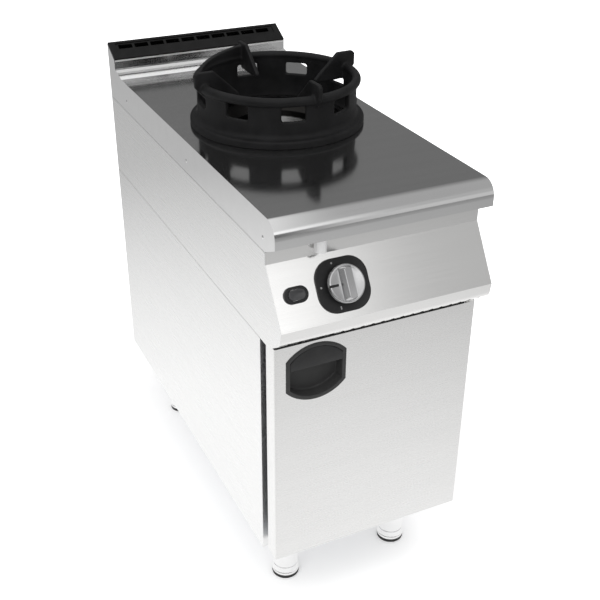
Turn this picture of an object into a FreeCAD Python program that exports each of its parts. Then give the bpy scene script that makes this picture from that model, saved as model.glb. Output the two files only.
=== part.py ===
import FreeCAD, Part
import math
import os
import re
import Sketcher
from FreeCAD import Placement, Rotation, Vector

# Free-standing gas wok range: 400 wide, 900 deep, worktop at 850.
# Frame: origin on the floor under the middle of the whole range, +X to the right seen from
# the front, +Y to the back, +Z up, in millimetres. Reaches are distances from the origin
# towards the front (door, console, bullnose) or the back (flue, back panel).

SIZES = {
    # cabinet, from the floor up
    "width": 400,
    "wall": 1.5,
    "back_reach": 448,
    "side_reach": 371,
    "leg_height": 148,
    "split_height": 617,
    "seam": 0.8,
    "flange": 22,
    "floor_rise": 20,
    "slot_length": 180,
    "slot_height": 6,
    "slot_pitch": 18,
    "slot_rise": 60,
    "belt_drop": 15,
    "belt_height": 30,
    "rail_wall": 2,
    # console, each lead counted from the cabinet's front and each rise from the corner below
    "console_lead": 24,
    "nose_lead": 60,
    "chin_set": 4,
    "chin_rise": 7,
    "chin_tall": 20.5,
    "nose_tall": 25,
    "face_tall": 95,
    "console_lip": 23.5,
    "chin_round": 18,
    "vent_radius": 4.2,
    "vent_sink": 4,
    "vent_pitch": 19,
    "vent_margin": 15,
    # worktop
    "skirt_tall": 62,
    "deck_wall": 1.5,
    "bullnose_lead": 39,
    "bullnose_rise": 19,
    "bullnose_round": 28,
    "cove_run": 38,
    "cove_ledge": 6,
    "cove_rise": 10,
    "deck_hole": 116,
    "ring_y": -2,
    "top_frame_drop": 12,
    "top_frame_height": 44,
    "screw_rise": 23,
    "screw_radius": 3.2,
    "screw_head": 1.2,
    "screw_shank": 1.5,
    # flue
    "flue_depth": 46,
    "flue_rise": 30,
    "flue_climb": 24.5,
    "flue_wall": 1.5,
    "grille_wall": 4,
    "grille_margin": 0.5,
    "grille_border": 20,
    "grille_slot": 30.5,
    "grille_slots": 10,
    "duct_margin": 80,
    "duct_rise": 28,
    "duct_lap": 18,
    # door
    "door_gap": 4,
    "door_lead": 49,
    "door_depth": 34,
    "door_clear": 9,
    "door_rise": 2,
    "door_wall": 1.2,
    "door_round": 4,
    "liner_wall": 2,
    "pivot_inset": 16,
    "pivot_set": 17,
    "pin_radius": 4,
    "pin_length": 12,
    "bracket_wall": 4,
    "bracket_leg": 36,
    "handle_inset": 81.5,
    "handle_drop": 61,
    "handle_width": 113,
    "handle_height": 112.5,
    "handle_rise": 26,
    "handle_rim": 5,
    "handle_proud": 1.5,
    "handle_depth": 24,
    "handle_wall": 2.5,
    "visor_wall": 4,
    "catch_inset": 50,
    "catch_width": 44,
    "strike_width": 40,
    "catch_height": 12,
    "catch_gap": 0.4,
    "catch_drop": 2.5,
    # wok ring, heights above the deck
    "ring_bore": 142,
    "ring_wall": 9,
    "ring_height": 81,
    "bead_radius": 8.5,
    "bead_inset": 2,
    "ring_foot": 165.5,
    "ring_foot_height": 14,
    "window_width": 44,
    "window_low": 46.5,
    "window_high": 73.5,
    "windows": 9,
    "prongs": 4,
    "prong_wall": 8,
    "prong_reach": 167,
    "prong_top": 111.5,
    "prong_flat": 130,
    "prong_tip": 81,
    "prong_tip_height": 65,
    "shield_high": 108,
    "shield_low": 89,
    "shield_sweep": 58,
    # burner
    "bowl_rim": 128,
    "bowl_throat": 78,
    "bowl_shelf": 7,
    "bowl_dish": 12,
    "bowl_depth": 34,
    "bowl_wall": 1.5,
    "bowl_collar": 8,
    "burner_radius": 46,
    "burner_drop": 44,
    "burner_height": 64,
    "burner_wall": 8,
    "cap_radius": 50,
    "cap_height": 16,
    "cap_bore": 18,
    "cap_slot": 2.4,
    "cap_slots": 24,
    "mixer_rise": 26,
    "mixer_radius": 20,
    "mixer_wall": 2,
    "mixer_front": 262,
    "bell_flare": 6,
    "bell_length": 14,
    "yoke_wall": 4,
    "injector_reach": 302,
    "injector_radius": 6,
    "injector_lap": 12,
    "injector_tip": 24,
    "jet_radius": 1.2,
    "rail_gap": 48,
    "rail_width": 20,
    "rail_height": 12,
    # pilot, thermocouple and spark electrode
    "pilot_x": -62,
    "pilot_pitch": 16,
    "bracket_drop": 28,
    "pilot_bracket_wall": 3,
    "pilot_bracket_edge": 9,
    "pilot_radius": 5,
    "pilot_length": 30,
    "pilot_below": 10,
    "pilot_pipe_radius": 3,
    "probe_radius": 3,
    "probe_length": 52,
    "probe_below": 12,
    "probe_lead_radius": 1.5,
    "spark_radius": 3.5,
    "spark_length": 46,
    "spark_below": 20,
    "spark_tip": 14,
    "lead_radius": 2.5,
    # controls, sizes in the frame of the slanted panel
    "knob_inset": 124,
    "knob_radius": 32,
    "knob_base": 8.5,
    "knob_disc": 20,
    "knob_top": 34,
    "grip_width": 17,
    "stem_radius": 4,
    "stem_hole": 6,
    "stem_depth": 32,
    "stem_grip": 14,
    "running_fit": 0.05,
    "bezel_width": 94,
    "bezel_height": 90,
    "bezel_round": 33,
    "bezel_wall": 3.5,
    "valve_size": 36,
    "valve_depth": 62,
    "valve_flange": 5,
    "plug_radius": 9,
    "plug_depth": 40,
    "stem_room": 46,
    "igniter_inset": 40,
    "igniter_width": 42,
    "igniter_height": 28,
    "igniter_wall": 5,
    "button_width": 30,
    "button_height": 18,
    "button_top": 7.5,
    "button_travel": 4,
    "button_stem": 6,
    "button_depth": 14,
    "piezo_radius": 11,
    "piezo_depth": 55,
    "tube_inset": 91.5,
    "tube_lead": 12,
    "tube_radius": 10.5,
    "tube_rise": 11.5,
    "tube_wall": 1.2,
    "tube_drop": 14,
    # gas line, depths along the tap
    "supply_depth": 30,
    "feed_depth": 52,
    "inlet_inset": 50,
    "inlet_radius": 10.48,
    "inlet_boss": 12,
    "inlet_collar": 17,
    "inlet_collar_wall": 4,
    "inlet_bore": 7.5,
    "inlet_proud": 18,
    "inlet_length": 26,
    "supply_radius": 8,
    "supply_bend": 30,
    "supply_wall": 1.2,
    "feed_radius": 6,
    "feed_bend": 20,
    "feed_wall": 1,
    "feed_climb": 36,
    # tray and feet
    "tray_gap": 18.5,
    "tray_reach": 330,
    "tray_drop": 44.7,
    "tray_height": 22,
    "shelf_lap": 12,
    "foot_inset": 77,
    "foot_front": -305,
    "foot_back": 325,
    "leg_radius": 25,
    "leg_wall": 2.5,
    "leg_plate": 40,
    "leg_plate_wall": 2,
    "collar_gap": 1.5,
    "foot_radius": 27,
    "foot_taper": 2,
    "foot_height": 26,
    "foot_stem": 46,
    "pad_height": 7,
}

doc = FreeCAD.newDocument("WokRange")
sheet = doc.addObject("Spreadsheet::Sheet", "Sheet")
for row, (alias, number) in enumerate(SIZES.items(), start=1):
    sheet.set(f"A{row}", alias)
    sheet.set(f"B{row}", str(number))
    sheet.setAlias(f"B{row}", alias)
doc.recompute()


class Size:
    """A length that knows its number and the sheet expression that gives it."""

    def __init__(self, number, text):
        self.number = float(number)
        self.text = text

    def __add__(self, other):
        other = size(other)
        return Size(self.number + other.number, f"({self.text} + {other.text})")

    def __sub__(self, other):
        other = size(other)
        return Size(self.number - other.number, f"({self.text} - {other.text})")

    def __mul__(self, other):
        other = size(other)
        return Size(self.number * other.number, f"({self.text} * {other.text})")

    def __truediv__(self, other):
        other = size(other)
        return Size(self.number / other.number, f"({self.text} / {other.text})")

    def __neg__(self):
        return Size(-self.number, f"(0 - {self.text})")

    def __float__(self):
        return self.number

    __radd__ = __add__
    __rmul__ = __mul__

    def __rsub__(self, other):
        return size(other) - self


def size(number):
    """A plain number as a Size, and a Size as it is."""
    return number if isinstance(number, Size) else Size(number, f"{number:.9g}")


class Sheet:
    """Reads a cell of the sheet as a Size, by its alias."""

    def __getattr__(self, alias):
        return Size(sheet.get(alias), f"Sheet.{alias}")


s = Sheet()
half = s.width / 2
nodes = {}

# reaches towards the front that follow from the cabinet's own
s.console_reach = s.side_reach + s.console_lead
s.nose_reach = s.console_reach + s.nose_lead
s.chin_reach = s.nose_reach - s.chin_set
s.door_reach = s.side_reach + s.door_lead
s.bullnose_reach = s.console_reach + s.bullnose_lead
s.tube_reach = s.console_reach + s.tube_lead
s.pivot_y = -(s.door_reach - s.pivot_set)

# reaches towards the back
s.flue_reach = s.back_reach - s.flue_depth
s.cove_end = s.flue_reach - s.cove_ledge
s.cove_start = s.cove_end - s.cove_run

# heights, each from the one below
s.door_bottom = s.leg_height + s.door_clear
s.door_top = s.split_height + s.door_rise
s.chin_bottom = s.split_height + s.chin_rise
s.chin_height = s.chin_bottom + s.chin_tall
s.nose_height = s.chin_height + s.nose_tall
s.console_top = s.nose_height + s.face_tall
s.skirt_height = s.console_top + s.console_lip
s.deck_height = s.skirt_height + s.skirt_tall
s.bullnose_height = s.skirt_height + s.bullnose_rise
s.flue_front_height = s.deck_height + s.flue_rise
s.flue_back_height = s.flue_front_height + s.flue_climb
s.duct_bottom = s.split_height + s.duct_rise
s.duct_top = s.skirt_height + s.duct_lap
s.burner_top = s.deck_height - s.burner_drop
s.burner_bottom = s.burner_top - s.burner_height
s.mixer_height = s.burner_bottom + s.mixer_rise
s.tube_bottom = s.console_top + s.tube_rise
s.tray_bottom = s.split_height - s.tray_drop
s.handle_z = s.door_top - s.handle_drop

# places across the width
s.door_width = s.width - s.door_gap * 2
s.pivot_x = half - s.pivot_inset
s.handle_x = -half + s.handle_inset
s.catch_x = -half + s.catch_inset
s.knob_x = -half + s.knob_inset
s.igniter_x = -half + s.igniter_inset
s.tube_x = -half + s.tube_inset
s.inlet_x = half - s.inlet_inset
s.foot_x = half - s.foot_inset


def bind(feature, **sizes):
    for name, length in sizes.items():
        feature.setExpression(name, size(length).text)
    return feature


def place(feature, x=0, y=0, z=0, rotation=None):
    lengths = [size(length) for length in (x, y, z)]
    base = Vector(*(length.number for length in lengths))
    feature.Placement = Placement(base, rotation or Rotation())
    for axis, length in zip("xyz", lengths):
        feature.setExpression(f"Placement.Base.{axis}", length.text)
    return feature


def carry(feature, placement):
    """Carry a feature from its own place to one worked out here."""
    for axis in "xyz":
        feature.setExpression(f"Placement.Base.{axis}", None)
    feature.Placement = placement * feature.Placement
    return feature


def node(label, feature):
    """Name a finished sub-part."""
    feature.Label = label
    nodes[label] = feature
    return feature


# ---- Part primitives and booleans -------------------------------------------------------

ALONG_X = Rotation(Vector(0, 1, 0), 90)
ALONG_Y = Rotation(Vector(1, 0, 0), -90)


def box(x, y, z):
    """A box from low to high along each axis."""
    feature = doc.addObject("Part::Box", "Block")
    spans = [size(high) - low for low, high in (x, y, z)]
    bind(feature, Length=spans[0], Width=spans[1], Height=spans[2])
    return place(feature, x[0], y[0], z[0])


def rod(radius, length, x=0, y=0, z=0, along=None, angle=360):
    feature = doc.addObject("Part::Cylinder", "Rod")
    bind(feature, Radius=radius, Height=length, Angle=angle)
    return place(feature, x, y, z, along)


def cone(radius, top_radius, length, x=0, y=0, z=0, along=None):
    feature = doc.addObject("Part::Cone", "Taper")
    bind(feature, Radius1=radius, Radius2=top_radius, Height=length)
    return place(feature, x, y, z, along)


def fuse(*shapes):
    feature = doc.addObject("Part::MultiFuse", "Fused")
    feature.Shapes = list(shapes)
    feature.Refine = True
    return feature


def group(*shapes):
    """Separate solids that share one node."""
    feature = doc.addObject("Part::Compound", "Group")
    feature.Links = list(shapes)
    return feature


def cut(base, *tools):
    feature = doc.addObject("Part::Cut", "Cut")
    feature.Base = base
    feature.Tool = tools[0] if len(tools) == 1 else fuse(*tools)
    return feature


def common(*shapes):
    feature = doc.addObject("Part::MultiCommon", "Common")
    feature.Shapes = list(shapes)
    return feature


def hollow_box(x, y, z, wall, open_bottom=False, open_top=True):
    """A box with four thin walls, open where it is said."""
    low = z[0] if open_bottom else z[0] + wall
    high = z[1] if open_top else z[1] - wall
    inside = box((x[0] + wall, x[1] - wall), (y[0] + wall, y[1] - wall), (low, high))
    return cut(box(x, y, z), inside)


# ---- PartDesign bodies ------------------------------------------------------------------


def sketch_on(body, plane):
    sketch = body.newObject("Sketcher::SketchObject", "Sketch")
    origin = next(f for f in body.Origin.OriginFeatures if f.Role == plane)
    sketch.AttachmentSupport = (origin, [""])
    sketch.MapMode = "FlatFace"
    return sketch


def polygon(body, plane, corners):
    """A closed sketch of straight edges, each corner held to the sheet."""
    sketch = sketch_on(body, plane)
    corners = [(size(u), size(v)) for u, v in corners]
    points = [Vector(u.number, v.number, 0) for u, v in corners]
    for start, end in zip(points, points[1:] + points[:1]):
        sketch.addGeometry(Part.LineSegment(start, end), False)
    for i in range(len(points)):
        following = (i + 1) % len(points)
        sketch.addConstraint(Sketcher.Constraint("Coincident", i, 2, following, 1))
    for i, corner in enumerate(corners):
        for kind, length in zip(("DistanceX", "DistanceY"), corner):
            place_of = sketch.addConstraint(Sketcher.Constraint(kind, -1, 1, i, 1, length.number))
            sketch.setExpression(f"Constraints[{place_of}]", length.text)
    return sketch


def circle(body, plane, u, v, radius):
    """A sketch of one circle, its centre and radius held to the sheet."""
    sketch = sketch_on(body, plane)
    u, v, radius = size(u), size(v), size(radius)
    centre = Vector(u.number, v.number, 0)
    sketch.addGeometry(Part.Circle(centre, Vector(0, 0, 1), radius.number), False)
    for kind, length in (("DistanceX", u), ("DistanceY", v)):
        place_of = sketch.addConstraint(Sketcher.Constraint(kind, -1, 1, 0, 3, length.number))
        sketch.setExpression(f"Constraints[{place_of}]", length.text)
    place_of = sketch.addConstraint(Sketcher.Constraint("Radius", 0, radius.number))
    sketch.setExpression(f"Constraints[{place_of}]", radius.text)
    return sketch


def new_body():
    return doc.addObject("PartDesign::Body", "Body")


def pad(body, sketch, length, symmetric=True):
    feature = body.newObject("PartDesign::Pad", "Pad")
    feature.Profile = sketch
    feature.Midplane = symmetric
    bind(feature, Length=length)
    doc.recompute()
    return feature


def revolve(body, sketch):
    feature = body.newObject("PartDesign::Revolution", "Revolution")
    feature.Profile = sketch
    feature.ReferenceAxis = (sketch, ["V_Axis"])
    feature.Angle = 360
    doc.recompute()
    return feature


def named(kind, pieces, test):
    return [f"{kind}{i}" for i, piece in enumerate(pieces, start=1) if test(piece.CenterOfMass)]


def near(first, second):
    return abs(float(first) - float(second)) < 0.01


def round_edges(body, feature, test, radius):
    fillet = body.newObject("PartDesign::Fillet", "Fillet")
    fillet.Base = (feature, named("Edge", feature.Shape.Edges, test))
    bind(fillet, Radius=radius)
    doc.recompute()
    return fillet


def shell(body, feature, open_test, wall):
    """Hollow a solid inwards, leaving off the faces that the test picks."""
    thickness = body.newObject("PartDesign::Thickness", "Thickness")
    thickness.Base = (feature, named("Face", feature.Shape.Faces, open_test))
    thickness.Reversed = True
    thickness.Join = 1
    bind(thickness, Value=wall)
    doc.recompute()
    return thickness


def turned(corners):
    """A body of revolution about Z from (radius, height) corners."""
    body = new_body()
    revolve(body, polygon(body, "XZ_Plane", corners))
    return body


# ---- pipes along runs and arcs ----------------------------------------------------------


def route(points, bend):
    """Straight runs through the points, joined by tangent arcs."""
    points = [Vector(*(float(c) for c in point)) for point in points]
    edges = []
    start = points[0]
    for before, corner, after in zip(points, points[1:], points[2:]):
        arriving = (corner - before).normalize()
        leaving = (after - corner).normalize()
        half_turn = arriving.getAngle(leaving) / 2
        setback = bend * math.tan(half_turn)
        arc_start = corner - arriving * setback
        arc_end = corner + leaving * setback
        bisector = (leaving - arriving).normalize()
        centre = corner + bisector * (bend / math.cos(half_turn))
        edges.append(Part.LineSegment(start, arc_start).toShape())
        edges.append(Part.Arc(arc_start, centre - bisector * bend, arc_end).toShape())
        start = arc_end
    edges.append(Part.LineSegment(start, points[-1]).toShape())
    return Part.Wire(edges)


def swept(path, radius):
    first = path.Edges[0]
    start = first.valueAt(first.FirstParameter)
    along = first.tangentAt(first.FirstParameter)
    section = Part.Wire([Part.Circle(start, along, float(radius)).toShape()])
    return path.makePipeShell([section], True, False)


def tube(points, bend, radius, bore=None):
    """A pipe or lead through points, as a solid of its own."""
    path = route(points, bend)
    solid = swept(path, radius)
    if bore is not None:
        solid = solid.cut(swept(path, bore))
    feature = doc.addObject("Part::Feature", "Pipe")
    feature.Shape = solid
    return feature


# ---- lower cabinet ----------------------------------------------------------------------

inner_half = half - s.wall
side_top = s.split_height - s.seam
front = -s.side_reach
inner_front = front + s.wall
inner_back = s.back_reach - s.wall


def side_panel(label, side):
    """A lower side: one bent sheet with a front return beside the door opening."""
    outer, inner, lip = (side * r for r in (half, inner_half, half - s.flange))
    web = box(sorted((outer, inner), key=float), (front, s.back_reach), (s.leg_height, side_top))
    across = sorted((inner, lip), key=float)
    lip = box(across, (front, inner_front), (s.leg_height, side_top))
    node(label, fuse(web, lip))


side_panel("side_panel_left", -1)
side_panel("side_panel_right", 1)

floor_span = (s.leg_height, s.leg_height + s.floor_rise)
node(
    "cabinet_floor",
    hollow_box((-inner_half, inner_half), (inner_front, inner_back), floor_span, s.wall),
)

# the back panel leaves room for the gas inlet and has cooling slots
slot_count = 6
slot_bottom = s.leg_height + s.slot_rise
back_sheet = box(
    (-inner_half, inner_half),
    (inner_back, s.back_reach),
    (s.leg_height, s.skirt_height - s.seam),
)
back_slots = [
    box(
        (-s.slot_length / 2, s.slot_length / 2),
        (inner_back - 1, s.back_reach + 1),
        (slot_bottom + s.slot_pitch * i, slot_bottom + s.slot_pitch * i + s.slot_height),
    )
    for i in range(slot_count)
]

belt_bottom = s.split_height - s.belt_drop
belt_top = belt_bottom + s.belt_height
node(
    "belt_frame",
    hollow_box(
        (-inner_half, inner_half),
        (inner_front, inner_back),
        (belt_bottom, belt_top),
        s.rail_wall,
        open_bottom=True,
    ),
)

# ---- console: the bent control panel between two cheeks ---------------------------------

skirt_low = s.skirt_height - s.seam
chin = [
    (-s.console_reach, skirt_low),
    (-s.console_reach, s.console_top),
    (-s.nose_reach, s.nose_height),
    (-s.chin_reach, s.chin_height),
    (-s.door_reach, s.chin_bottom),
]


def chin_edge(point):
    return near(point.y, -s.chin_reach) and near(point.z, s.chin_height)


def console_side(label, side, behind_lip):
    """An upper cheek, its front edge cut to the panel's outline."""
    body = new_body()
    corners = [*chin, *behind_lip, (s.back_reach, s.split_height), (s.back_reach, skirt_low)]
    cheek = pad(body, polygon(body, "YZ_Plane", corners), s.wall)
    round_edges(body, cheek, chin_edge, s.chin_round)
    place(body, side * (half - s.wall / 2))
    node(label, body)


# the right cheek stays above the path of the door's hinged edge
lip_corner = [(-s.door_reach + s.chin_rise, s.split_height)]
door_relief = [(front, s.chin_bottom), (front, s.split_height)]
console_side("console_side_left", -1, lip_corner)
console_side("console_side_right", 1, door_relief)

face_drop = s.console_top - s.nose_height
face_run = s.nose_reach - s.console_reach
face_tilt = 90 - math.degrees(math.atan2(float(face_run), float(face_drop)))
face_centre = Vector(
    0,
    -float(s.console_reach + s.nose_reach) / 2,
    float(s.console_top + s.nose_height) / 2,
)
ON_FACE = Rotation(Vector(1, 0, 0), face_tilt)
OUT_OF_FACE = ON_FACE.multVec(Vector(0, 0, 1))


def on_face(x, depth=0):
    """The point on the slanted panel at x, so deep behind its outer face."""
    return Vector(float(x), 0, 0) + face_centre - OUT_OF_FACE * float(depth)


def seat(feature, x):
    """Put a piece made about the panel's local frame on the slanted panel at x."""
    return carry(feature, Placement(on_face(x), ON_FACE))


panel_body = new_body()
panel_depth = inner_front
panel_corners = [(panel_depth, skirt_low), *chin, (panel_depth, s.chin_bottom)]
panel_solid = pad(panel_body, polygon(panel_body, "YZ_Plane", panel_corners), inner_half * 2)
panel_solid = round_edges(panel_body, panel_solid, chin_edge, s.chin_round)


def panel_open(point):
    behind = near(point.y, panel_depth)
    above = near(point.z, skirt_low)
    beside = near(abs(point.x), inner_half)
    return behind or above or beside


shell(panel_body, panel_solid, panel_open, s.wall)

pass_depth = 10


def panel_hole(radius, x):
    """A drill through the slanted panel."""
    return seat(rod(radius, pass_depth * 2, 0, 0, -pass_depth), x)


hole_margin = 0.5
valve_hole = panel_hole(s.stem_hole, s.knob_x)
igniter_hole = panel_hole(s.button_stem + hole_margin, s.igniter_x)
pivot_drill = s.pin_radius + hole_margin
pivot_hole = rod(pivot_drill, pass_depth, s.pivot_x, s.pivot_y, s.chin_bottom - pass_depth / 2)
vent_run = s.width - s.vent_margin * 2
vent_count = int(float(vent_run) // float(s.vent_pitch)) + 1
first_vent = -(s.vent_pitch * (vent_count - 1)) / 2
vent_length = s.chin_round * 1.5
vents = [
    rod(
        s.vent_radius,
        vent_length,
        first_vent + s.vent_pitch * i,
        -s.chin_reach - vent_length / 3,
        s.chin_height - s.vent_sink,
        ALONG_Y,
    )
    for i in range(vent_count)
]
node("control_panel", cut(panel_body, valve_hole, igniter_hole, pivot_hole, *vents))

# ---- worktop ----------------------------------------------------------------------------

deck_body = new_body()
deck_corners = [
    (s.flue_reach, s.skirt_height),
    (s.flue_reach, s.deck_height + s.cove_rise),
    (s.cove_end, s.deck_height + s.cove_rise),
    (s.cove_start, s.deck_height),
    (-s.bullnose_reach, s.deck_height),
    (-s.bullnose_reach, s.bullnose_height),
    (-s.console_reach, s.skirt_height),
]
deck_solid = pad(deck_body, polygon(deck_body, "YZ_Plane", deck_corners), s.width)


def bullnose_edge(point):
    return near(point.y, -s.bullnose_reach) and near(point.z, s.deck_height)


def deck_open(point):
    return near(point.z, s.skirt_height) or near(point.y, s.flue_reach)


deck_solid = round_edges(deck_body, deck_solid, bullnose_edge, s.bullnose_round)
shell(deck_body, deck_solid, deck_open, s.deck_wall)

burner_opening = rod(s.deck_hole, pass_depth * 2, 0, s.ring_y, s.deck_height - pass_depth)
tube_opening = rod(s.tube_radius, s.skirt_tall / 2, s.tube_x, -s.tube_reach, s.skirt_height)
screw_height = s.skirt_height + s.screw_rise
screw_places = [
    (-s.console_reach + 7, screw_height),
    (-s.console_reach * 0.1, screw_height),
    (s.flue_reach - 72, screw_height),
]
screw_shanks = [
    rod(s.screw_shank, s.width + 4, -half - 2, y, z, ALONG_X) for y, z in screw_places
]
node("worktop", cut(deck_body, burner_opening, tube_opening, *screw_shanks))


def screw(side, y, z):
    """A domed screw through the skirt."""
    head = cone(s.screw_radius, s.screw_radius * 0.6, s.screw_head, 0, 0, 0)
    shank_length = s.deck_wall + s.rail_wall
    shank = rod(s.screw_shank, shank_length, 0, 0, -shank_length)
    whole = fuse(head, shank)
    rotation = Rotation(Vector(0, 1, 0), 90 * side)
    return place(whole, half * side, y, z, rotation)


node("skirt_screws", group(*[screw(side, y, z) for side in (-1, 1) for y, z in screw_places]))

frame_half = half - s.deck_wall
frame_bottom = s.skirt_height - s.top_frame_drop
top_frame_span = (frame_bottom, frame_bottom + s.top_frame_height)
frame_front = -s.console_reach + s.wall
top_frame = hollow_box(
    (-frame_half, frame_half),
    (frame_front, s.flue_reach),
    top_frame_span,
    s.rail_wall,
    open_bottom=True,
)
frame_screw_holes = [
    rod(s.screw_shank, s.width, -half, y, z, ALONG_X) for y, z in screw_places
]
# its front rail stops under the worktop's sloping edge
front_relief = box(
    (-frame_half, frame_half),
    (frame_front - 1, frame_front + s.rail_wall),
    (s.skirt_height, s.deck_height),
)
node("top_frame", cut(top_frame, front_relief, *frame_screw_holes))

# ---- flue -------------------------------------------------------------------------------

riser_body = new_body()
riser_corners = [
    (s.flue_reach, s.skirt_height),
    (s.flue_reach, s.flue_front_height),
    (s.back_reach, s.flue_back_height),
    (s.back_reach, s.skirt_height),
]
riser_solid = pad(riser_body, polygon(riser_body, "YZ_Plane", riser_corners), s.width)


def riser_open(point):
    inside = float(s.flue_reach) + 1 < point.y < float(s.back_reach) - 1
    return inside and not near(abs(point.x), half)


shell(riser_body, riser_solid, riser_open, s.flue_wall)
node("flue_riser", riser_body)

flue_depth = s.back_reach - s.flue_reach
flue_rise = s.flue_back_height - s.flue_front_height
flue_slope = math.degrees(math.atan2(float(flue_rise), float(flue_depth)))
cap_depth = size(math.hypot(float(flue_rise), float(flue_depth)))
cap_half = half - s.grille_margin
cap_plate = box((-cap_half, cap_half), (0, cap_depth), (0, s.grille_wall))
channel = box(
    (-cap_half + s.grille_border * 0.7, cap_half - s.grille_border * 0.7),
    (cap_depth * 0.5, cap_depth * 0.88),
    (s.grille_wall - 1.5, s.grille_wall + 1),
)
first_slot = -cap_half + s.grille_border
slot_run = -first_slot * 2 / s.grille_slots
slots = [
    box(
        (first_slot + slot_run * i, first_slot + slot_run * i + s.grille_slot),
        (cap_depth * 0.57, cap_depth * 0.8),
        (-1, s.grille_wall + 1),
    )
    for i in range(int(float(s.grille_slots)))
]
# two lips under the plate keep it from sliding off the riser
lip_span = (-half + s.flue_wall * 4, half - s.flue_wall * 4)
lip_drop = -s.grille_wall * 1.5
lip_start = s.flue_wall * 2
front_lip = box(lip_span, (lip_start, lip_start + s.rail_wall), (lip_drop, 0))
back_end = cap_depth - lip_start * 2
back_lip = box(lip_span, (back_end - s.rail_wall, back_end), (lip_drop, 0))
flue_grille = fuse(cut(cap_plate, channel, *slots), front_lip, back_lip)
slope = Rotation(Vector(1, 0, 0), flue_slope)
node("flue_grille", place(flue_grille, 0, s.flue_reach, s.flue_front_height, slope))

duct_half = half - s.duct_margin
node(
    "flue_duct",
    hollow_box(
        (-duct_half, duct_half),
        (s.flue_reach + s.flue_wall, inner_back),
        (s.duct_bottom, s.duct_top),
        s.flue_wall,
        open_bottom=True,
    ),
)

# ---- spill bowl and wok ring ------------------------------------------------------------

bowl_low = s.deck_height - s.bowl_depth
bowl_top = s.deck_hole - 4
shelf_edge = s.bowl_throat + s.bowl_shelf
bowl_corners = [
    (s.bowl_rim, s.deck_height),
    (s.bowl_rim, s.deck_height + s.bowl_wall),
    (bowl_top, s.deck_height + s.bowl_wall),
    (shelf_edge, s.deck_height - s.bowl_dish),
    (s.bowl_throat, bowl_low),
    (s.bowl_throat, bowl_low - s.bowl_collar),
    (s.bowl_throat + s.bowl_wall, bowl_low - s.bowl_collar),
    (s.bowl_throat + s.bowl_wall, bowl_low - 0.5),
    (shelf_edge + s.bowl_wall, s.deck_height - s.bowl_dish - s.bowl_wall),
    (bowl_top + 0.6, s.deck_height),
]
node("spill_bowl", place(turned(bowl_corners), 0, s.ring_y, 0))

ring_outer = s.ring_bore + s.ring_wall
ring_body = new_body()
ring_corners = [
    (s.ring_bore, 0),
    (s.ring_foot, 0),
    (s.ring_foot, s.ring_foot_height),
    (ring_outer, s.ring_foot_height),
    (ring_outer, s.ring_height),
    (s.ring_bore, s.ring_height),
]
ring_wall = revolve(ring_body, polygon(ring_body, "XZ_Plane", ring_corners))


def ring_edge(feature, radius, height):
    """The round edge of that radius at that height."""
    return [
        f"Edge{i}"
        for i, edge in enumerate(feature.Shape.Edges, start=1)
        if near(edge.CenterOfMass.z, height)
        and hasattr(edge.Curve, "Radius")
        and near(edge.Curve.Radius, radius)
    ]


def round_ring(feature, radius, height, fillet_radius):
    fillet = ring_body.newObject("PartDesign::Fillet", "Fillet")
    fillet.Base = (feature, ring_edge(feature, radius, height))
    fillet.Radius = fillet_radius
    doc.recompute()
    return fillet


ring_wall = round_ring(ring_wall, ring_outer, s.ring_foot_height, 10)
ring_wall = round_ring(ring_wall, s.ring_foot, s.ring_foot_height, 5)
bead_middle = ring_outer - s.bead_inset
revolve(ring_body, circle(ring_body, "XZ_Plane", bead_middle, s.ring_height, s.bead_radius))


def around(feature, count):
    """Repeat a feature of the ring about its axis."""
    pattern = ring_body.newObject("PartDesign::PolarPattern", "PolarPattern")
    pattern.Originals = [feature]
    axis = next(f for f in ring_body.Origin.OriginFeatures if f.Role == "Z_Axis")
    pattern.Axis = (axis, [""])
    pattern.Angle = 360
    bind(pattern, Occurrences=count)
    ring_body.Tip = pattern
    doc.recompute()
    return pattern


first_window = -15.8
window_sketch = polygon(
    ring_body,
    "XZ_Plane",
    [
        (-s.window_width / 2, s.window_low),
        (s.window_width / 2, s.window_low),
        (s.window_width / 2, s.window_high),
        (-s.window_width / 2, s.window_high),
    ],
)
turn = Rotation(Vector(0, 1, 0), first_window)
window_sketch.AttachmentOffset = Placement(Vector(0, 0, 0), turn)
window = ring_body.newObject("PartDesign::Pocket", "Window")
window.Profile = window_sketch
window.Reversed = True
bind(window, Length=s.ring_foot)
doc.recompute()
around(window, s.windows)

prong_corners = [
    (-(s.ring_bore + 4), 60),
    (-s.prong_tip, s.prong_tip_height - 7),
    (-s.prong_tip, s.prong_tip_height),
    (-s.prong_flat, s.prong_top),
    (-(s.prong_reach - 5), s.prong_top),
    (-s.prong_reach, s.prong_top - 5),
    (-s.prong_reach, s.ring_height + 3),
    (-(s.prong_reach - 10), s.ring_height - 8),
]
prong_sketch = polygon(ring_body, "YZ_Plane", prong_corners)
prong = ring_body.newObject("PartDesign::Pad", "Prong")
prong.Profile = prong_sketch
prong.Midplane = True
bind(prong, Length=s.prong_wall)
doc.recompute()
around(prong, s.prongs)

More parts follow.
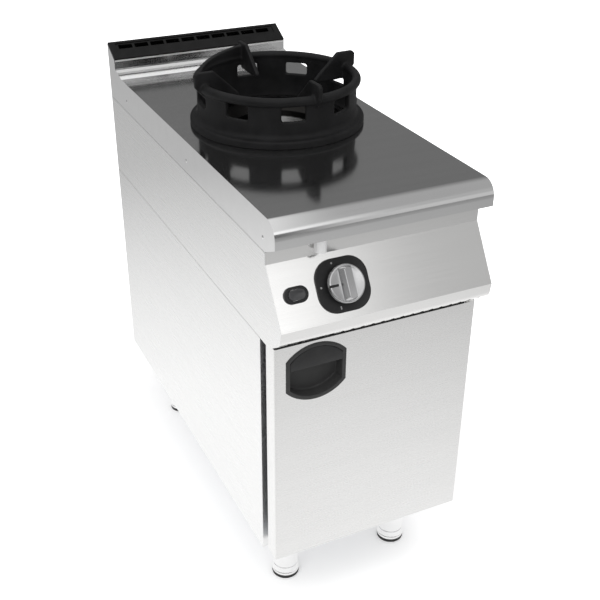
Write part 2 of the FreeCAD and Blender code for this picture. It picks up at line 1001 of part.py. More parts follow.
# the shield climbs from the left prong to the back one, along the rim
shield_height = s.shield_high - s.shield_low
chord = 2 * float(ring_outer) * math.sin(math.radians(float(s.shield_sweep)) / 2)
shield_fall = math.degrees(math.atan2(float(shield_height), chord))
behind = Rotation(Vector(0, 0, 1), 90)
sector = cut(
    rod(ring_outer, s.shield_high - s.ring_height, 0, 0, s.ring_height, behind, s.shield_sweep),
    rod(s.ring_bore, s.shield_high, 0, 0, 0),
)
slant_block = box((-chord, chord * 2), (-chord, chord), (0, s.prong_top))
chord_turn = Rotation(Vector(0, 0, 1), 180 + float(s.shield_sweep) / 2)
slant = chord_turn * Rotation(Vector(0, 1, 0), shield_fall)
carry(slant_block, Placement(Vector(0, float(ring_outer), float(s.shield_high)), slant))
ring_turn = 3
wok_ring = fuse(ring_body, cut(sector, slant_block))
turn_of_ring = Rotation(Vector(0, 0, 1), ring_turn)
node("wok_ring", place(wok_ring, 0, s.ring_y, s.deck_height, turn_of_ring))

# ---- burner -----------------------------------------------------------------------------

port_radius = s.mixer_radius + s.burner_wall * 0.6
cup = turned(
    [
        (0, s.burner_bottom),
        (s.burner_radius, s.burner_bottom),
        (s.burner_radius, s.burner_top),
        (s.burner_radius - s.burner_wall, s.burner_top),
        (s.burner_radius - s.burner_wall, s.burner_bottom + s.burner_wall),
        (0, s.burner_bottom + s.burner_wall),
    ]
)
place(cup, 0, s.ring_y, 0)
port_length = s.burner_radius * 1.5
port_front = s.ring_y - port_length
port = rod(port_radius, port_length, 0, port_front, s.mixer_height, ALONG_Y)
port_bore = rod(s.mixer_radius, port_length + 1, 0, port_front - 1, s.mixer_height, ALONG_Y)
cup_inside = rod(
    s.burner_radius - s.burner_wall,
    s.burner_top - s.burner_bottom - s.burner_wall,
    0,
    s.ring_y,
    s.burner_bottom + s.burner_wall,
)
node("burner_body", cut(fuse(cup, port), port_bore, cup_inside))

cap_top = s.burner_top + s.cap_height
cap_spigot = s.burner_radius - s.burner_wall - 0.4
cap_body = turned(
    [
        (s.cap_bore, s.burner_top - 6),
        (cap_spigot, s.burner_top - 6),
        (cap_spigot, s.burner_top),
        (s.cap_radius, s.burner_top),
        (s.cap_radius, cap_top - 6),
        (s.cap_radius - 6, cap_top),
        (s.cap_bore * 1.5, cap_top),
        (s.cap_bore, cap_top - s.cap_height / 2),
    ]
)
port_slots = []
slot_low = s.burner_top + s.cap_height * 0.3
for i in range(int(float(s.cap_slots))):
    slot = box(
        (s.cap_radius * 0.82, s.cap_radius + 1),
        (-s.cap_slot / 2, s.cap_slot / 2),
        (slot_low, cap_top + 1),
    )
    spin = Rotation(Vector(0, 0, 1), 360 / float(s.cap_slots) * i)
    port_slots.append(carry(slot, Placement(Vector(0, 0, 0), spin)))
burner_cap = cut(cap_body, *port_slots)
node("burner_cap", place(burner_cap, 0, s.ring_y, 0))

bell_radius = s.mixer_radius + s.bell_flare
mixer_end = s.ring_y - s.burner_radius + 4
mixer_length = mixer_end + s.mixer_front - s.bell_length
bell_end = -s.mixer_front + s.bell_length
mixer_pipe = rod(s.mixer_radius, mixer_length, 0, bell_end, s.mixer_height, ALONG_Y)
bell = cone(bell_radius, s.mixer_radius, s.bell_length, 0, -s.mixer_front, s.mixer_height, ALONG_Y)
mixer_bore = rod(
    s.mixer_radius - s.mixer_wall,
    mixer_length + 2,
    0,
    bell_end,
    s.mixer_height,
    ALONG_Y,
)
bell_bore = cone(
    bell_radius - s.mixer_wall,
    s.mixer_radius - s.mixer_wall,
    s.bell_length,
    0,
    -s.mixer_front,
    s.mixer_height,
    ALONG_Y,
)
yoke_front = -s.injector_reach + s.injector_lap
arm_low = bell_radius - 5
arms = [
    box(
        sorted((side * arm_low, side * (bell_radius - 1)), key=float),
        (yoke_front, -s.mixer_front + 3),
        (s.mixer_height - 4, s.mixer_height + 4),
    )
    for side in (-1, 1)
]
yoke = rod(bell_radius, s.yoke_wall, 0, yoke_front, s.mixer_height, ALONG_Y)
injector_hole = rod(
    s.injector_radius, s.yoke_wall + 2, 0, yoke_front - 1, s.mixer_height, ALONG_Y
)
mixer = cut(fuse(mixer_pipe, bell, yoke, *arms), mixer_bore, bell_bore, injector_hole)
node("mixer_tube", mixer)

shutter_length = -s.mixer_front - yoke_front
shutter = cut(
    rod(bell_radius + 1.5, shutter_length, 0, yoke_front, s.mixer_height, ALONG_Y),
    rod(bell_radius + s.running_fit, shutter_length + 2, 0, yoke_front - 1, s.mixer_height, ALONG_Y),
    box(
        (-bell_radius - 5, bell_radius + 5),
        (yoke_front + 8, -s.mixer_front - 6),
        (s.mixer_height - 9, s.mixer_height + 9),
    ),
)
node("air_shutter", shutter)

nozzle_length = s.injector_tip - s.injector_radius
nozzle = rod(s.injector_radius, nozzle_length, 0, yoke_front, s.mixer_height, ALONG_Y)
nozzle_tip = cone(
    s.injector_radius,
    s.injector_radius / 2,
    s.injector_radius,
    0,
    yoke_front + nozzle_length,
    s.mixer_height,
    ALONG_Y,
)
hexagon_length = s.injector_lap
hexagon = doc.addObject("Part::Prism", "Hexagon")
hexagon.Polygon = 6
bind(hexagon, Circumradius=s.injector_radius * 1.6, Height=hexagon_length)
place(hexagon, 0, -s.injector_reach, s.mixer_height, ALONG_Y)
jet_length = s.injector_lap + s.injector_tip + 2
jet = rod(s.jet_radius, jet_length, 0, -s.injector_reach - 1, s.mixer_height, ALONG_Y)
node("gas_injector", cut(fuse(nozzle, nozzle_tip, hexagon), jet))

rail_top = s.burner_bottom
rail_span = (rail_top - s.rail_height, rail_top)


def burner_rail(y_low):
    bar = box((-inner_half, inner_half), (y_low, y_low + s.rail_width), rail_span)
    groove = box(
        (-inner_half - 1, inner_half + 1),
        (y_low + s.rail_wall, y_low + s.rail_width - s.rail_wall),
        (rail_span[0] - 1, rail_top - s.rail_wall),
    )
    return cut(bar, groove)


node(
    "burner_rails",
    group(
        burner_rail(s.ring_y - s.rail_gap / 2 - s.rail_width),
        burner_rail(s.ring_y + s.rail_gap / 2),
    ),
)

# ---- pilot, thermocouple and spark electrode --------------------------------------------

bracket_z = s.burner_top - s.bracket_drop
bracket_top = bracket_z + s.pilot_bracket_wall
probe_y = s.ring_y + s.pilot_pitch
spark_y = s.ring_y - s.pilot_pitch
bracket_plate = box(
    (s.pilot_x - s.pilot_bracket_edge, -s.burner_radius * 0.7),
    (spark_y - s.pilot_bracket_edge, probe_y + s.pilot_bracket_edge),
    (bracket_z, bracket_top),
)
drill_low = bracket_z - 1
drill = s.pilot_bracket_wall + 2
pilot_bracket = cut(
    bracket_plate,
    rod(s.burner_radius, drill, 0, s.ring_y, drill_low),
    rod(s.pilot_radius, drill, s.pilot_x, s.ring_y, drill_low),
    rod(s.probe_radius, drill, s.pilot_x, probe_y, drill_low),
    rod(s.spark_radius, drill, s.pilot_x, spark_y, drill_low),
)
node("pilot_bracket", pilot_bracket)

pilot_low = bracket_z - s.pilot_below
pilot_top = pilot_low + s.pilot_length
hood = s.pilot_radius * 1.6
pilot_body = fuse(
    rod(s.pilot_radius, s.pilot_length, s.pilot_x, s.ring_y, pilot_low),
    rod(s.pilot_radius * 1.4, s.pilot_radius * 0.8, s.pilot_x, s.ring_y, bracket_top),
    cone(s.pilot_radius, s.pilot_radius * 0.6, hood, s.pilot_x, s.ring_y, pilot_top),
)
port_z = pilot_top + hood / 4
port_start = s.pilot_x - s.pilot_radius * 0.4
flame_port = rod(s.pilot_radius * 0.3, hood, port_start, s.ring_y, port_z, ALONG_X)
node("pilot_burner", cut(pilot_body, flame_port))

valve_back = on_face(s.knob_x, s.valve_depth)
valve_half = s.valve_size / 2
run_out = valve_back - OUT_OF_FACE * float(s.valve_size)
pilot_route = [
    valve_back,
    run_out,
    (s.pilot_x, s.ring_y, run_out.z),
    (s.pilot_x, s.ring_y, pilot_low),
]
pilot_bend = float(s.pilot_pipe_radius) * 9
node("pilot_pipe", tube(pilot_route, pilot_bend, s.pilot_pipe_radius, s.pilot_pipe_radius - 1))

probe_low = bracket_z - s.probe_below
lead_start = valve_back - Vector(float(valve_half) * 0.6, 0, 0)
lead_turn = lead_start - OUT_OF_FACE * float(s.valve_depth)
probe_bend = float(s.probe_lead_radius) * 16
probe_lead = tube(
    [
        lead_start,
        lead_turn,
        (s.pilot_x, probe_y, lead_turn.z),
        (s.pilot_x, probe_y, probe_low),
    ],
    probe_bend,
    s.probe_lead_radius,
)
probe = rod(s.probe_radius, s.probe_length, s.pilot_x, probe_y, probe_low)
node("thermocouple", fuse(probe_lead, probe))

spark_low = bracket_z - s.spark_below
ceramic = rod(s.spark_radius, s.spark_length, s.pilot_x, spark_y, spark_low)
wire_low = spark_low + s.spark_length
spark_wire = rod(s.spark_radius * 0.3, s.spark_tip, s.pilot_x, spark_y, wire_low)
node("spark_electrode", fuse(ceramic, spark_wire))

piezo_back = on_face(s.igniter_x, s.piezo_depth)
lead_bend = float(s.lead_radius) * 7
lead_level = piezo_back.z + float(s.lead_radius) * 3
ignition_route = [
    piezo_back,
    piezo_back - OUT_OF_FACE * lead_bend * 1.5,
    Vector(piezo_back.x, piezo_back.y + float(s.piezo_depth), lead_level),
    (s.pilot_x, spark_y, lead_level),
    (s.pilot_x, spark_y, spark_low),
]
node("ignition_lead", tube(ignition_route, lead_bend, s.lead_radius))

# ---- gas tap, knob and igniter, made about the slanted panel's frame --------------------

flange_wall = 4
flange_half = valve_half + s.valve_flange
valve_block = box(
    (-valve_half, valve_half),
    (-valve_half, valve_half),
    (-s.valve_depth, -s.wall - flange_wall),
)
valve_flange = box(
    (-flange_half, flange_half),
    (-flange_half, flange_half),
    (-s.wall - flange_wall, -s.wall),
)
plug_bore = rod(s.plug_radius, s.plug_depth, 0, 0, -s.plug_depth)
stem_pocket = rod(s.stem_radius + 1, s.stem_room, 0, 0, -s.stem_room)
gas_valve = cut(fuse(valve_block, valve_flange), plug_bore, stem_pocket)
node("gas_valve", seat(gas_valve, s.knob_x))

plug_top = -s.wall - flange_wall - 2
plug_low = -s.plug_depth + 1
plug = cut(
    rod(s.plug_radius - s.running_fit, plug_top - plug_low, 0, 0, plug_low),
    rod(s.stem_radius + s.running_fit, s.plug_depth, 0, 0, plug_low - 1),
)
node("valve_plug", seat(plug, s.knob_x))

stem_top = s.knob_base + s.stem_grip
stem = rod(s.stem_radius, stem_top + s.stem_depth, 0, 0, -s.stem_depth)
node("valve_stem", seat(stem, s.knob_x))

knob_skirt = turned(
    [
        (0, s.knob_base),
        (s.knob_radius, s.knob_base),
        (s.knob_radius, s.knob_disc - 3),
        (s.knob_radius - 3, s.knob_disc),
        (0, s.knob_disc),
    ]
)
grip_half = s.grip_width / 2
grip_block = box(
    (-grip_half, grip_half),
    (-s.knob_radius, s.knob_radius),
    (s.knob_disc - 2, s.knob_top),
)
grip = common(grip_block, rod(s.knob_radius - 3, s.knob_top, 0, 0, 0))
pointer_half = s.knob_radius * 0.05
pointer = box(
    (-s.knob_radius - 1, -s.knob_radius * 0.72),
    (-pointer_half, pointer_half),
    (s.knob_disc - pointer_half, s.knob_disc + 1),
)
knob_bore = rod(s.stem_radius, s.stem_grip, 0, 0, s.knob_base)
knob = cut(fuse(knob_skirt, grip), pointer, knob_bore)
node("knob", seat(knob, s.knob_x))

bezel_body = new_body()
bezel_u = s.bezel_width / 2
bezel_v = s.bezel_height / 2
bezel_square = [(-bezel_u, -bezel_v), (bezel_u, -bezel_v), (bezel_u, bezel_v), (-bezel_u, bezel_v)]
bezel_pad = pad(bezel_body, polygon(bezel_body, "XY_Plane", bezel_square), s.bezel_wall, False)


def bezel_corner(point):
    return near(abs(point.x), bezel_u) and near(abs(point.y), bezel_v)


round_edges(bezel_body, bezel_pad, bezel_corner, s.bezel_round)
knob_bezel = cut(bezel_body, rod(s.stem_hole, s.bezel_wall + 2, 0, 0, -1))
node("knob_bezel", seat(knob_bezel, s.knob_x))


def oval(width, height, low, high):
    """A plate with round ends, along the panel's width."""
    radius = height / 2
    reach = width / 2 - radius
    middle = box((-reach, reach), (-radius, radius), (low, high))
    thickness = size(high) - low
    ends = [rod(radius, thickness, side * reach, 0, low) for side in (-1, 1)]
    return fuse(middle, *ends)


igniter_bezel = cut(
    oval(s.igniter_width, s.igniter_height, size(0), s.igniter_wall),
    oval(s.button_width, s.button_height, size(-1), s.igniter_wall + 1),
)
node("igniter_bezel", seat(igniter_bezel, s.igniter_x))

button_gap = 0.3
button_low = s.button_travel + 0.6
button_head = oval(
    s.button_width - button_gap * 2,
    s.button_height - button_gap * 2,
    size(button_low),
    s.button_top,
)
button_rod = rod(s.button_stem, button_low + s.button_depth + 0.5, 0, 0, -s.button_depth)
node("igniter_button", seat(fuse(button_head, button_rod), s.igniter_x))

piezo_bore = s.button_depth + s.button_travel * 1.5
piezo = cut(
    rod(s.piezo_radius, s.piezo_depth - s.wall, 0, 0, -s.piezo_depth),
    rod(s.button_stem + s.running_fit, piezo_bore, 0, 0, -piezo_bore),
)
node("piezo_igniter", seat(piezo, s.igniter_x))

tube_length = s.deck_height - s.deck_wall - s.tube_drop - s.tube_bottom
tube_bore = s.tube_radius - s.tube_wall
tube_place = (s.tube_x, -s.tube_reach)
sight_tube = cut(
    rod(s.tube_radius, tube_length, *tube_place, s.tube_bottom),
    rod(tube_bore, tube_length + 2, *tube_place, s.tube_bottom - 1),
)
node("sight_tube", sight_tube)

# ---- gas line ---------------------------------------------------------------------------

inlet_side = on_face(s.knob_x, s.supply_depth)
outlet_side = on_face(s.knob_x, s.feed_depth)
valve_right = float(s.knob_x + valve_half)
supply_level = inlet_side.z
inlet_end = s.back_reach + s.inlet_proud
inlet_start = inlet_end - s.inlet_length
supply_route = [
    (s.inlet_x, inlet_start, supply_level),
    (s.inlet_x, inlet_side.y, supply_level),
    (valve_right, inlet_side.y, supply_level),
]
supply_bore = s.supply_radius - s.supply_wall
node("supply_pipe", tube(supply_route, float(s.supply_bend), s.supply_radius, supply_bore))

feed_route = [
    (valve_right, outlet_side.y, outlet_side.z),
    (0, outlet_side.y, outlet_side.z),
    (0, outlet_side.y + float(s.feed_climb), s.mixer_height),
    (0, -s.injector_reach, s.mixer_height),
]
feed_bore = s.feed_radius - s.feed_wall
node("feed_pipe", tube(feed_route, float(s.feed_bend), s.feed_radius, feed_bore))


def inlet_rod(radius, start, end):
    """A round stretch of the gas inlet, or a drill for it."""
    return rod(radius, end - start, s.inlet_x, start, supply_level, ALONG_Y)


gas_inlet = cut(
    fuse(
        inlet_rod(s.inlet_radius, inlet_start, inlet_end),
        inlet_rod(s.inlet_boss, inlet_start, s.back_reach),
        inlet_rod(s.inlet_collar, inner_back - s.inlet_collar_wall, inner_back),
    ),
    inlet_rod(s.inlet_bore, inlet_start - 1, inlet_end + 1),
)
node("gas_inlet", gas_inlet)
inlet_hole = inlet_rod(s.inlet_boss, inner_back - 1, s.back_reach + 1)
node("back_panel", cut(back_sheet, inlet_hole, *back_slots))

# ---- door -------------------------------------------------------------------------------

door_half = s.door_width / 2
door_front = -s.door_reach
door_back = door_front + s.door_depth
door_body = new_body()
door_corners = [
    (-door_half, door_front),
    (door_half, door_front),
    (door_half, door_back),
    (-door_half, door_back),
]
door_pad = pad(
    door_body,
    polygon(door_body, "XY_Plane", door_corners),
    s.door_top - s.door_bottom,
    symmetric=False,
)


def door_front_edge(point):
    return near(abs(point.x), door_half) and near(point.y, door_front)


def door_open(point):
    return near(point.y, door_back)


door_pad = round_edges(door_body, door_pad, door_front_edge, s.door_round)
shell(door_body, door_pad, door_open, s.door_wall)
place(door_body, 0, 0, s.door_bottom)


def arch(width, height, rise, y_low, y_high):
    """A block behind the handle's outline: straight sides, arched top and bottom."""
    u = width / 2
    v = height / 2
    radius = (u * u + rise * rise) / (rise * 2)
    block = box(
        (s.handle_x - u, s.handle_x + u),
        (y_low, y_high),
        (s.handle_z - v, s.handle_z + v),
    )
    length = y_high - y_low
    domes = [
        rod(radius, length, s.handle_x, y_low, s.handle_z + side * (v - radius), ALONG_Y)
        for side in (-1, 1)
    ]
    return common(block, *domes)


cup_width = s.handle_width - s.handle_rim * 2
cup_height = s.handle_height - s.handle_rim * 2
cup_rise = s.handle_rise - 2
rim_front = door_front - s.handle_proud
cup_back = door_front + s.handle_depth
door_hole = arch(cup_width, cup_height, cup_rise, door_front - 2, cup_back)
node("door_skin", cut(door_body, door_hole))

node(
    "door_liner",
    box(
        (-door_half + s.door_wall, door_half - s.door_wall),
        (door_back - s.liner_wall, door_back),
        (s.door_bottom + s.door_wall, s.door_top - s.door_wall),
    ),
)

cup_inner = arch(
    cup_width - s.handle_wall * 2,
    cup_height - s.handle_wall * 2,
    cup_rise - 1,
    rim_front - 1,
    cup_back - s.handle_wall,
)
handle_cup = cut(
    fuse(
        arch(s.handle_width, s.handle_height, s.handle_rise, rim_front, door_front),
        arch(cup_width, cup_height, cup_rise, door_front, cup_back),
    ),
    cup_inner,
)
node("handle_cup", handle_cup)

visor_width = cup_width - s.handle_wall * 2
visor_height = cup_height - s.handle_wall * 2
visor_front = rim_front - s.visor_wall / 2
visor_back = visor_front + s.visor_wall
visor_plate = common(
    arch(visor_width, visor_height, cup_rise - 1, visor_front, visor_back),
    box(
        (s.handle_x - s.handle_width, s.handle_x + s.handle_width),
        (visor_front, visor_back),
        (s.handle_z, s.handle_z + s.handle_height),
    ),
)
rib_half = visor_width * 0.42
rib_low = s.handle_z + visor_height / 4
visor_rib = box(
    (s.handle_x - rib_half, s.handle_x + rib_half),
    (visor_back, cup_back - s.handle_wall),
    (rib_low, rib_low + s.handle_wall),
)
node("handle_visor", fuse(visor_plate, visor_rib))

pivot = (s.pivot_x, s.pivot_y)
foot_plate_top = s.door_bottom - s.door_clear / 3
lower_pin = s.bracket_wall + s.door_clear / 3
node(
    "hinge_pins",
    group(
        rod(s.pin_radius, s.pin_length, *pivot, s.door_top),
        rod(s.pin_radius, lower_pin, *pivot, s.door_bottom - lower_pin),
    ),
)
bracket_x = (s.pivot_x - s.pin_radius * 3.5, s.pivot_x + s.pin_radius * 3)
bracket_front = s.pivot_y - s.pin_radius * 2.5
pin_bore = s.pin_radius + s.running_fit
lower_plate = box(
    bracket_x,
    (bracket_front, front),
    (foot_plate_top - s.bracket_wall, foot_plate_top),
)
lower_leg = box(
    bracket_x,
    (front - s.bracket_wall, front),
    (foot_plate_top - s.bracket_wall, foot_plate_top + s.bracket_leg),
)
lower_bore = rod(pin_bore, s.bracket_wall * 2, *pivot, foot_plate_top - s.bracket_wall * 1.5)
node("hinge_bracket_lower", cut(fuse(lower_plate, lower_leg), lower_bore))
panel_floor = s.chin_bottom + s.wall
upper_wall = s.bracket_wall * 2
upper_plate = box(
    bracket_x,
    (bracket_front, inner_front - s.rail_wall),
    (panel_floor, panel_floor + upper_wall),
)
upper_bore = rod(pin_bore, upper_wall * 2, *pivot, panel_floor - upper_wall / 2)
node("hinge_bracket_upper", cut(upper_plate, upper_bore))

strike_back = door_back + s.wall
catch_front = strike_back + s.catch_gap
catch_low = belt_bottom - s.catch_drop


def catch_block(width, y_span):
    across = (s.catch_x - width / 2, s.catch_x + width / 2)
    return box(across, y_span, (catch_low, catch_low + s.catch_height))


node("catch_strike", catch_block(s.strike_width, (door_back, strike_back)))
node("door_catch", catch_block(s.catch_width, (catch_front, inner_front)))

# ---- drip tray --------------------------------------------------------------------------

tray_half = inner_half - s.tray_gap
node(
    "drip_tray",
    hollow_box(
        (-tray_half, tray_half),
        (-s.tray_reach, s.tray_reach),
        (s.tray_bottom, s.tray_bottom + s.tray_height),
        s.wall,
    ),
)
shelf_top = s.tray_bottom
shelf_low = shelf_top - s.rail_wall


def runner(side):
    """An angle on the side panel that the tray slides on."""
    shelf_end = tray_half - s.shelf_lap
    outer, inner, lip = (side * r for r in (inner_half, inner_half - s.rail_wall, shelf_end))
    y_span = (-s.tray_reach - s.rail_wall, s.tray_reach + s.rail_wall)
    leg = box(sorted((outer, inner), key=float), y_span, (shelf_low, shelf_top + s.tray_height))
    shelf = box(sorted((inner, lip), key=float), y_span, (shelf_low, shelf_top))
    return fuse(leg, shelf)


node("tray_runners", group(runner(-1), runner(1)))

# ---- legs and feet ----------------------------------------------------------------------

foot_places = {
    "front_left": (-s.foot_x, s.foot_front),
    "front_right": (s.foot_x, s.foot_front),
    "rear_left": (-s.foot_x, s.foot_back),
    "rear_right": (s.foot_x, s.foot_back),
}


def leg(x, y):
    """A tube under the cabinet floor, with its screwed-on plate."""
    low = s.foot_height + s.collar_gap
    high = s.leg_height - s.leg_plate_wall
    plate = box(
        (x - s.leg_plate, x + s.leg_plate),
        (y - s.leg_plate, y + s.leg_plate),
        (high, s.leg_height),
    )
    bore = rod(s.leg_radius - s.leg_wall, high - low, x, y, low)
    return fuse(cut(rod(s.leg_radius, high - low, x, y, low), bore), plate)


node("leg_tubes", group(*[leg(x, y) for x, y in foot_places.values()]))
foot_bore = s.leg_radius - s.leg_wall - s.running_fit
for name, (x, y) in foot_places.items():
    base_height = s.foot_height - s.pad_height
    base = cone(s.foot_radius, s.foot_radius - s.foot_taper, base_height, x, y, s.pad_height)
    screw_stem = rod(foot_bore, s.foot_stem, x, y, s.foot_height)
    node(f"foot_{name}", fuse(base, screw_stem))
    node(f"foot_pad_{name}", rod(s.foot_radius, s.pad_height, x, y, 0))

# ---- check and write --------------------------------------------------------------------

doc.recompute()
failed = [f.Label for f in doc.Objects if "Invalid" in f.State or "Error" in f.State]
if failed:
    raise SystemExit(f"these objects failed: {failed}")
for label, feature in nodes.items():
    shape = feature.Shape
    if shape.isNull() or not shape.isValid() or not shape.Solids:
        raise SystemExit(f"{label} has no valid solid")

os.makedirs("parts", exist_ok=True)
for label, feature in nodes.items():
    feature.Shape.exportStep(f"parts/{label}.step")
whole = FreeCAD.BoundBox()
for feature in nodes.values():
    whole.add(feature.Shape.BoundBox)
print(f"{len(nodes)} sub-parts, box {whole}")
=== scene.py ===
import math

import bmesh
import bpy
from mathutils import Matrix, Vector


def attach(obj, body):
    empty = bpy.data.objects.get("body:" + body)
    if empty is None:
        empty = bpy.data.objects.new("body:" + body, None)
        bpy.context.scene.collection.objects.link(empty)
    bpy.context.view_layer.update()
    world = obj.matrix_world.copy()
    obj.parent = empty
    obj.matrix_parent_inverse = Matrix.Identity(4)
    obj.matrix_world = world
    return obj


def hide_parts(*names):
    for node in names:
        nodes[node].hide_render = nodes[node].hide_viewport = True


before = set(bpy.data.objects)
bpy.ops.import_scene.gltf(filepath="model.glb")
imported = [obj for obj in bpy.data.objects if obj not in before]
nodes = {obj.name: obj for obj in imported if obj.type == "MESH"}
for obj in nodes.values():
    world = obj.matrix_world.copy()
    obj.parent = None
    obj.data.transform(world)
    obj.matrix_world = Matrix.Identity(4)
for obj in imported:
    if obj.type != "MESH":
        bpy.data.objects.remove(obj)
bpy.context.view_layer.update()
print("frame loaded,", len(nodes), "nodes")

# camera, first, at the photograph's view

cameraSetup = {
    "place": (-0.7500, -1.6635, 1.4917),
    "turn": -25.368,  # degrees to the right of straight ahead
    "dip": 30.024,  # degrees below level
    "roll": 0.245,
    "focalPixels": 991.8,  # focal length in the photograph's pixels
    "centre": (294.15, 304.93),  # where the lens axis meets the photograph
    "frameWidth": 600,
}


def makeCamera(c):
    data = bpy.data.cameras.new("camera")
    data.sensor_width = 36
    data.lens = c["focalPixels"] / c["frameWidth"] * data.sensor_width
    data.shift_x = (c["frameWidth"] / 2 - c["centre"][0]) / c["frameWidth"]
    data.shift_y = (c["centre"][1] - c["frameWidth"] / 2) / c["frameWidth"]
    camera = bpy.data.objects.new("camera", data)
    bpy.context.scene.collection.objects.link(camera)
    look = Matrix.Rotation(math.radians(c["turn"]), 4, "Z")
    look = look @ Matrix.Rotation(math.radians(90 - c["dip"]), 4, "X")
    look = look @ Matrix.Rotation(math.radians(c["roll"]), 4, "Z")
    camera.matrix_world = Matrix.Translation(c["place"]) @ look
    bpy.context.scene.camera = camera


makeCamera(cameraSetup)
bpy.context.scene.view_settings.view_transform = "Standard"
print("camera placed")

# how the finishes are made


def newMaterial(name):
    material = bpy.data.materials.new(name)
    material.use_nodes = True
    tree = material.node_tree
    shader = next(n for n in tree.nodes if n.type == "BSDF_PRINCIPLED")
    return material, tree, shader


def addNode(tree, kind, **values):
    node = tree.nodes.new(kind)
    for key, value in values.items():
        if hasattr(node, key):
            setattr(node, key, value)
        else:
            node.inputs[key.replace("_", " ")].default_value = value
    return node


def mappedCoords(tree, scale, turn=(0, 0, 0), coords="Object"):
    source = addNode(tree, "ShaderNodeTexCoord")
    mapping = addNode(tree, "ShaderNodeMapping")
    mapping.inputs["Scale"].default_value = scale
    mapping.inputs["Rotation"].default_value = turn
    tree.links.new(source.outputs[coords], mapping.inputs["Vector"])
    return mapping.outputs["Vector"]


def noise(tree, vector, scale, detail=3, rough=0.5):
    texture = addNode(tree, "ShaderNodeTexNoise", Scale=scale, Detail=detail, Roughness=rough)
    tree.links.new(vector, texture.inputs["Vector"])
    return texture.outputs["Fac"]


def spread(tree, value, low, high, fromLow=0.3, fromHigh=0.7):
    remap = addNode(tree, "ShaderNodeMapRange")
    remap.inputs["From Min"].default_value = fromLow
    remap.inputs["From Max"].default_value = fromHigh
    remap.inputs["To Min"].default_value = low
    remap.inputs["To Max"].default_value = high
    tree.links.new(value, remap.inputs["Value"])
    return remap.outputs["Result"]


def blendColours(tree, factor, first, second):
    mix = addNode(tree, "ShaderNodeMix", data_type="RGBA")
    for socket in mix.inputs:
        if socket.name == "A" and socket.type == "RGBA":
            socket.default_value = (*first, 1)
        if socket.name == "B" and socket.type == "RGBA":
            socket.default_value = (*second, 1)
    tree.links.new(factor, mix.inputs["Factor"])
    return next(o for o in mix.outputs if o.type == "RGBA")


def addBump(tree, shader, height, strength, distance):
    bump = addNode(tree, "ShaderNodeBump")
    bump.inputs["Strength"].default_value = strength
    bump.inputs["Distance"].default_value = distance
    tree.links.new(height, bump.inputs["Height"])
    tree.links.new(bump.outputs["Normal"], shader.inputs["Normal"])


def brushedMetal(name, grain, tone, spreadTone, rough, spreadRough, bump=0.12, metal=1.0):
    # sheet metal brushed along one axis
    material, tree, shader = newMaterial(name)
    shader.inputs["Metallic"].default_value = metal
    fine = {"x": (6, 900, 900), "y": (900, 6, 900), "z": (900, 900, 6)}[grain]
    broad = {"x": (0.8, 40, 40), "y": (40, 0.8, 40), "z": (40, 40, 0.8)}[grain]
    hair = noise(tree, mappedCoords(tree, fine), 1.0, 2)
    band = noise(tree, mappedCoords(tree, broad), 1.0, 3)
    low = tuple(t - spreadTone for t in tone)
    high = tuple(t + spreadTone for t in tone)
    tree.links.new(blendColours(tree, spread(tree, band, 0, 1), low, high), shader.inputs["Base Color"])
    tree.links.new(spread(tree, hair, rough - spreadRough, rough + spreadRough), shader.inputs["Roughness"])
    addBump(tree, shader, hair, bump, 0.0002)
    return material


finishes = {}

finishes["sideSteel"] = brushedMetal("sideSteel", "y", (0.87, 0.87, 0.865), 0.006, 0.28, 0.03, 0.05)
finishes["doorSteel"] = brushedMetal("doorSteel", "x", (0.86, 0.857, 0.85), 0.006, 0.27, 0.03, 0.05)
finishes["panelSteel"] = brushedMetal("panelSteel", "x", (0.87, 0.866, 0.858), 0.006, 0.17, 0.02, 0.03)
finishes["topSteel"] = brushedMetal("topSteel", "x", (0.80, 0.80, 0.80), 0.012, 0.12, 0.02, 0.03)
finishes["bowlSteel"] = brushedMetal("bowlSteel", "z", (0.78, 0.78, 0.78), 0.02, 0.25, 0.05)
finishes["brightSteel"] = brushedMetal("brightSteel", "z", (0.80, 0.80, 0.80), 0.015, 0.16, 0.04)


def bowlPaintedReflection():
    # pressed steel with painted light: black above the throat as painted reflection and shade of the dark ring,
    # bright in the throat as a painted highlight
    material, tree, shader = newMaterial("bowlPaintedReflection")
    shader.inputs["Metallic"].default_value = 1.0
    place = mappedCoords(tree, (1, 1, 1))
    parts = addNode(tree, "ShaderNodeSeparateXYZ")
    tree.links.new(place, parts.inputs[0])
    cloud = noise(tree, place, 60, 3)
    edge = addNode(tree, "ShaderNodeMath", operation="MULTIPLY_ADD")
    edge.inputs[1].default_value = 0.004
    tree.links.new(cloud, edge.inputs[0])
    tree.links.new(parts.outputs["Z"], edge.inputs[2])
    # painted reflection and shade: a sharp step in height turns the steel black above the throat
    paintedDark = spread(tree, edge.outputs[0], 0, 1, 0.8275, 0.8300)
    tone = blendColours(tree, paintedDark, (0.86, 0.86, 0.85), (0.022, 0.021, 0.020))
    tree.links.new(tone, shader.inputs["Base Color"])
    tree.links.new(spread(tree, cloud, 0.26, 0.36), shader.inputs["Roughness"])
    return material


finishes["bowlPaintedReflection"] = bowlPaintedReflection()


def zincSheet():
    # zinc-coated sheet with its faint crystals
    material, tree, shader = newMaterial("zincSheet")
    shader.inputs["Metallic"].default_value = 1.0
    crystals = addNode(tree, "ShaderNodeTexVoronoi", Scale=90.0)
    tree.links.new(mappedCoords(tree, (1, 1, 1)), crystals.inputs["Vector"])
    tone = blendColours(tree, crystals.outputs["Color"], (0.50, 0.51, 0.53), (0.66, 0.67, 0.69))
    tree.links.new(tone, shader.inputs["Base Color"])
    grit = noise(tree, mappedCoords(tree, (1, 1, 1)), 400, 3)
    tree.links.new(spread(tree, grit, 0.36, 0.5), shader.inputs["Roughness"])
    addBump(tree, shader, grit, 0.1, 0.0002)
    return material


finishes["zincSheet"] = zincSheet()


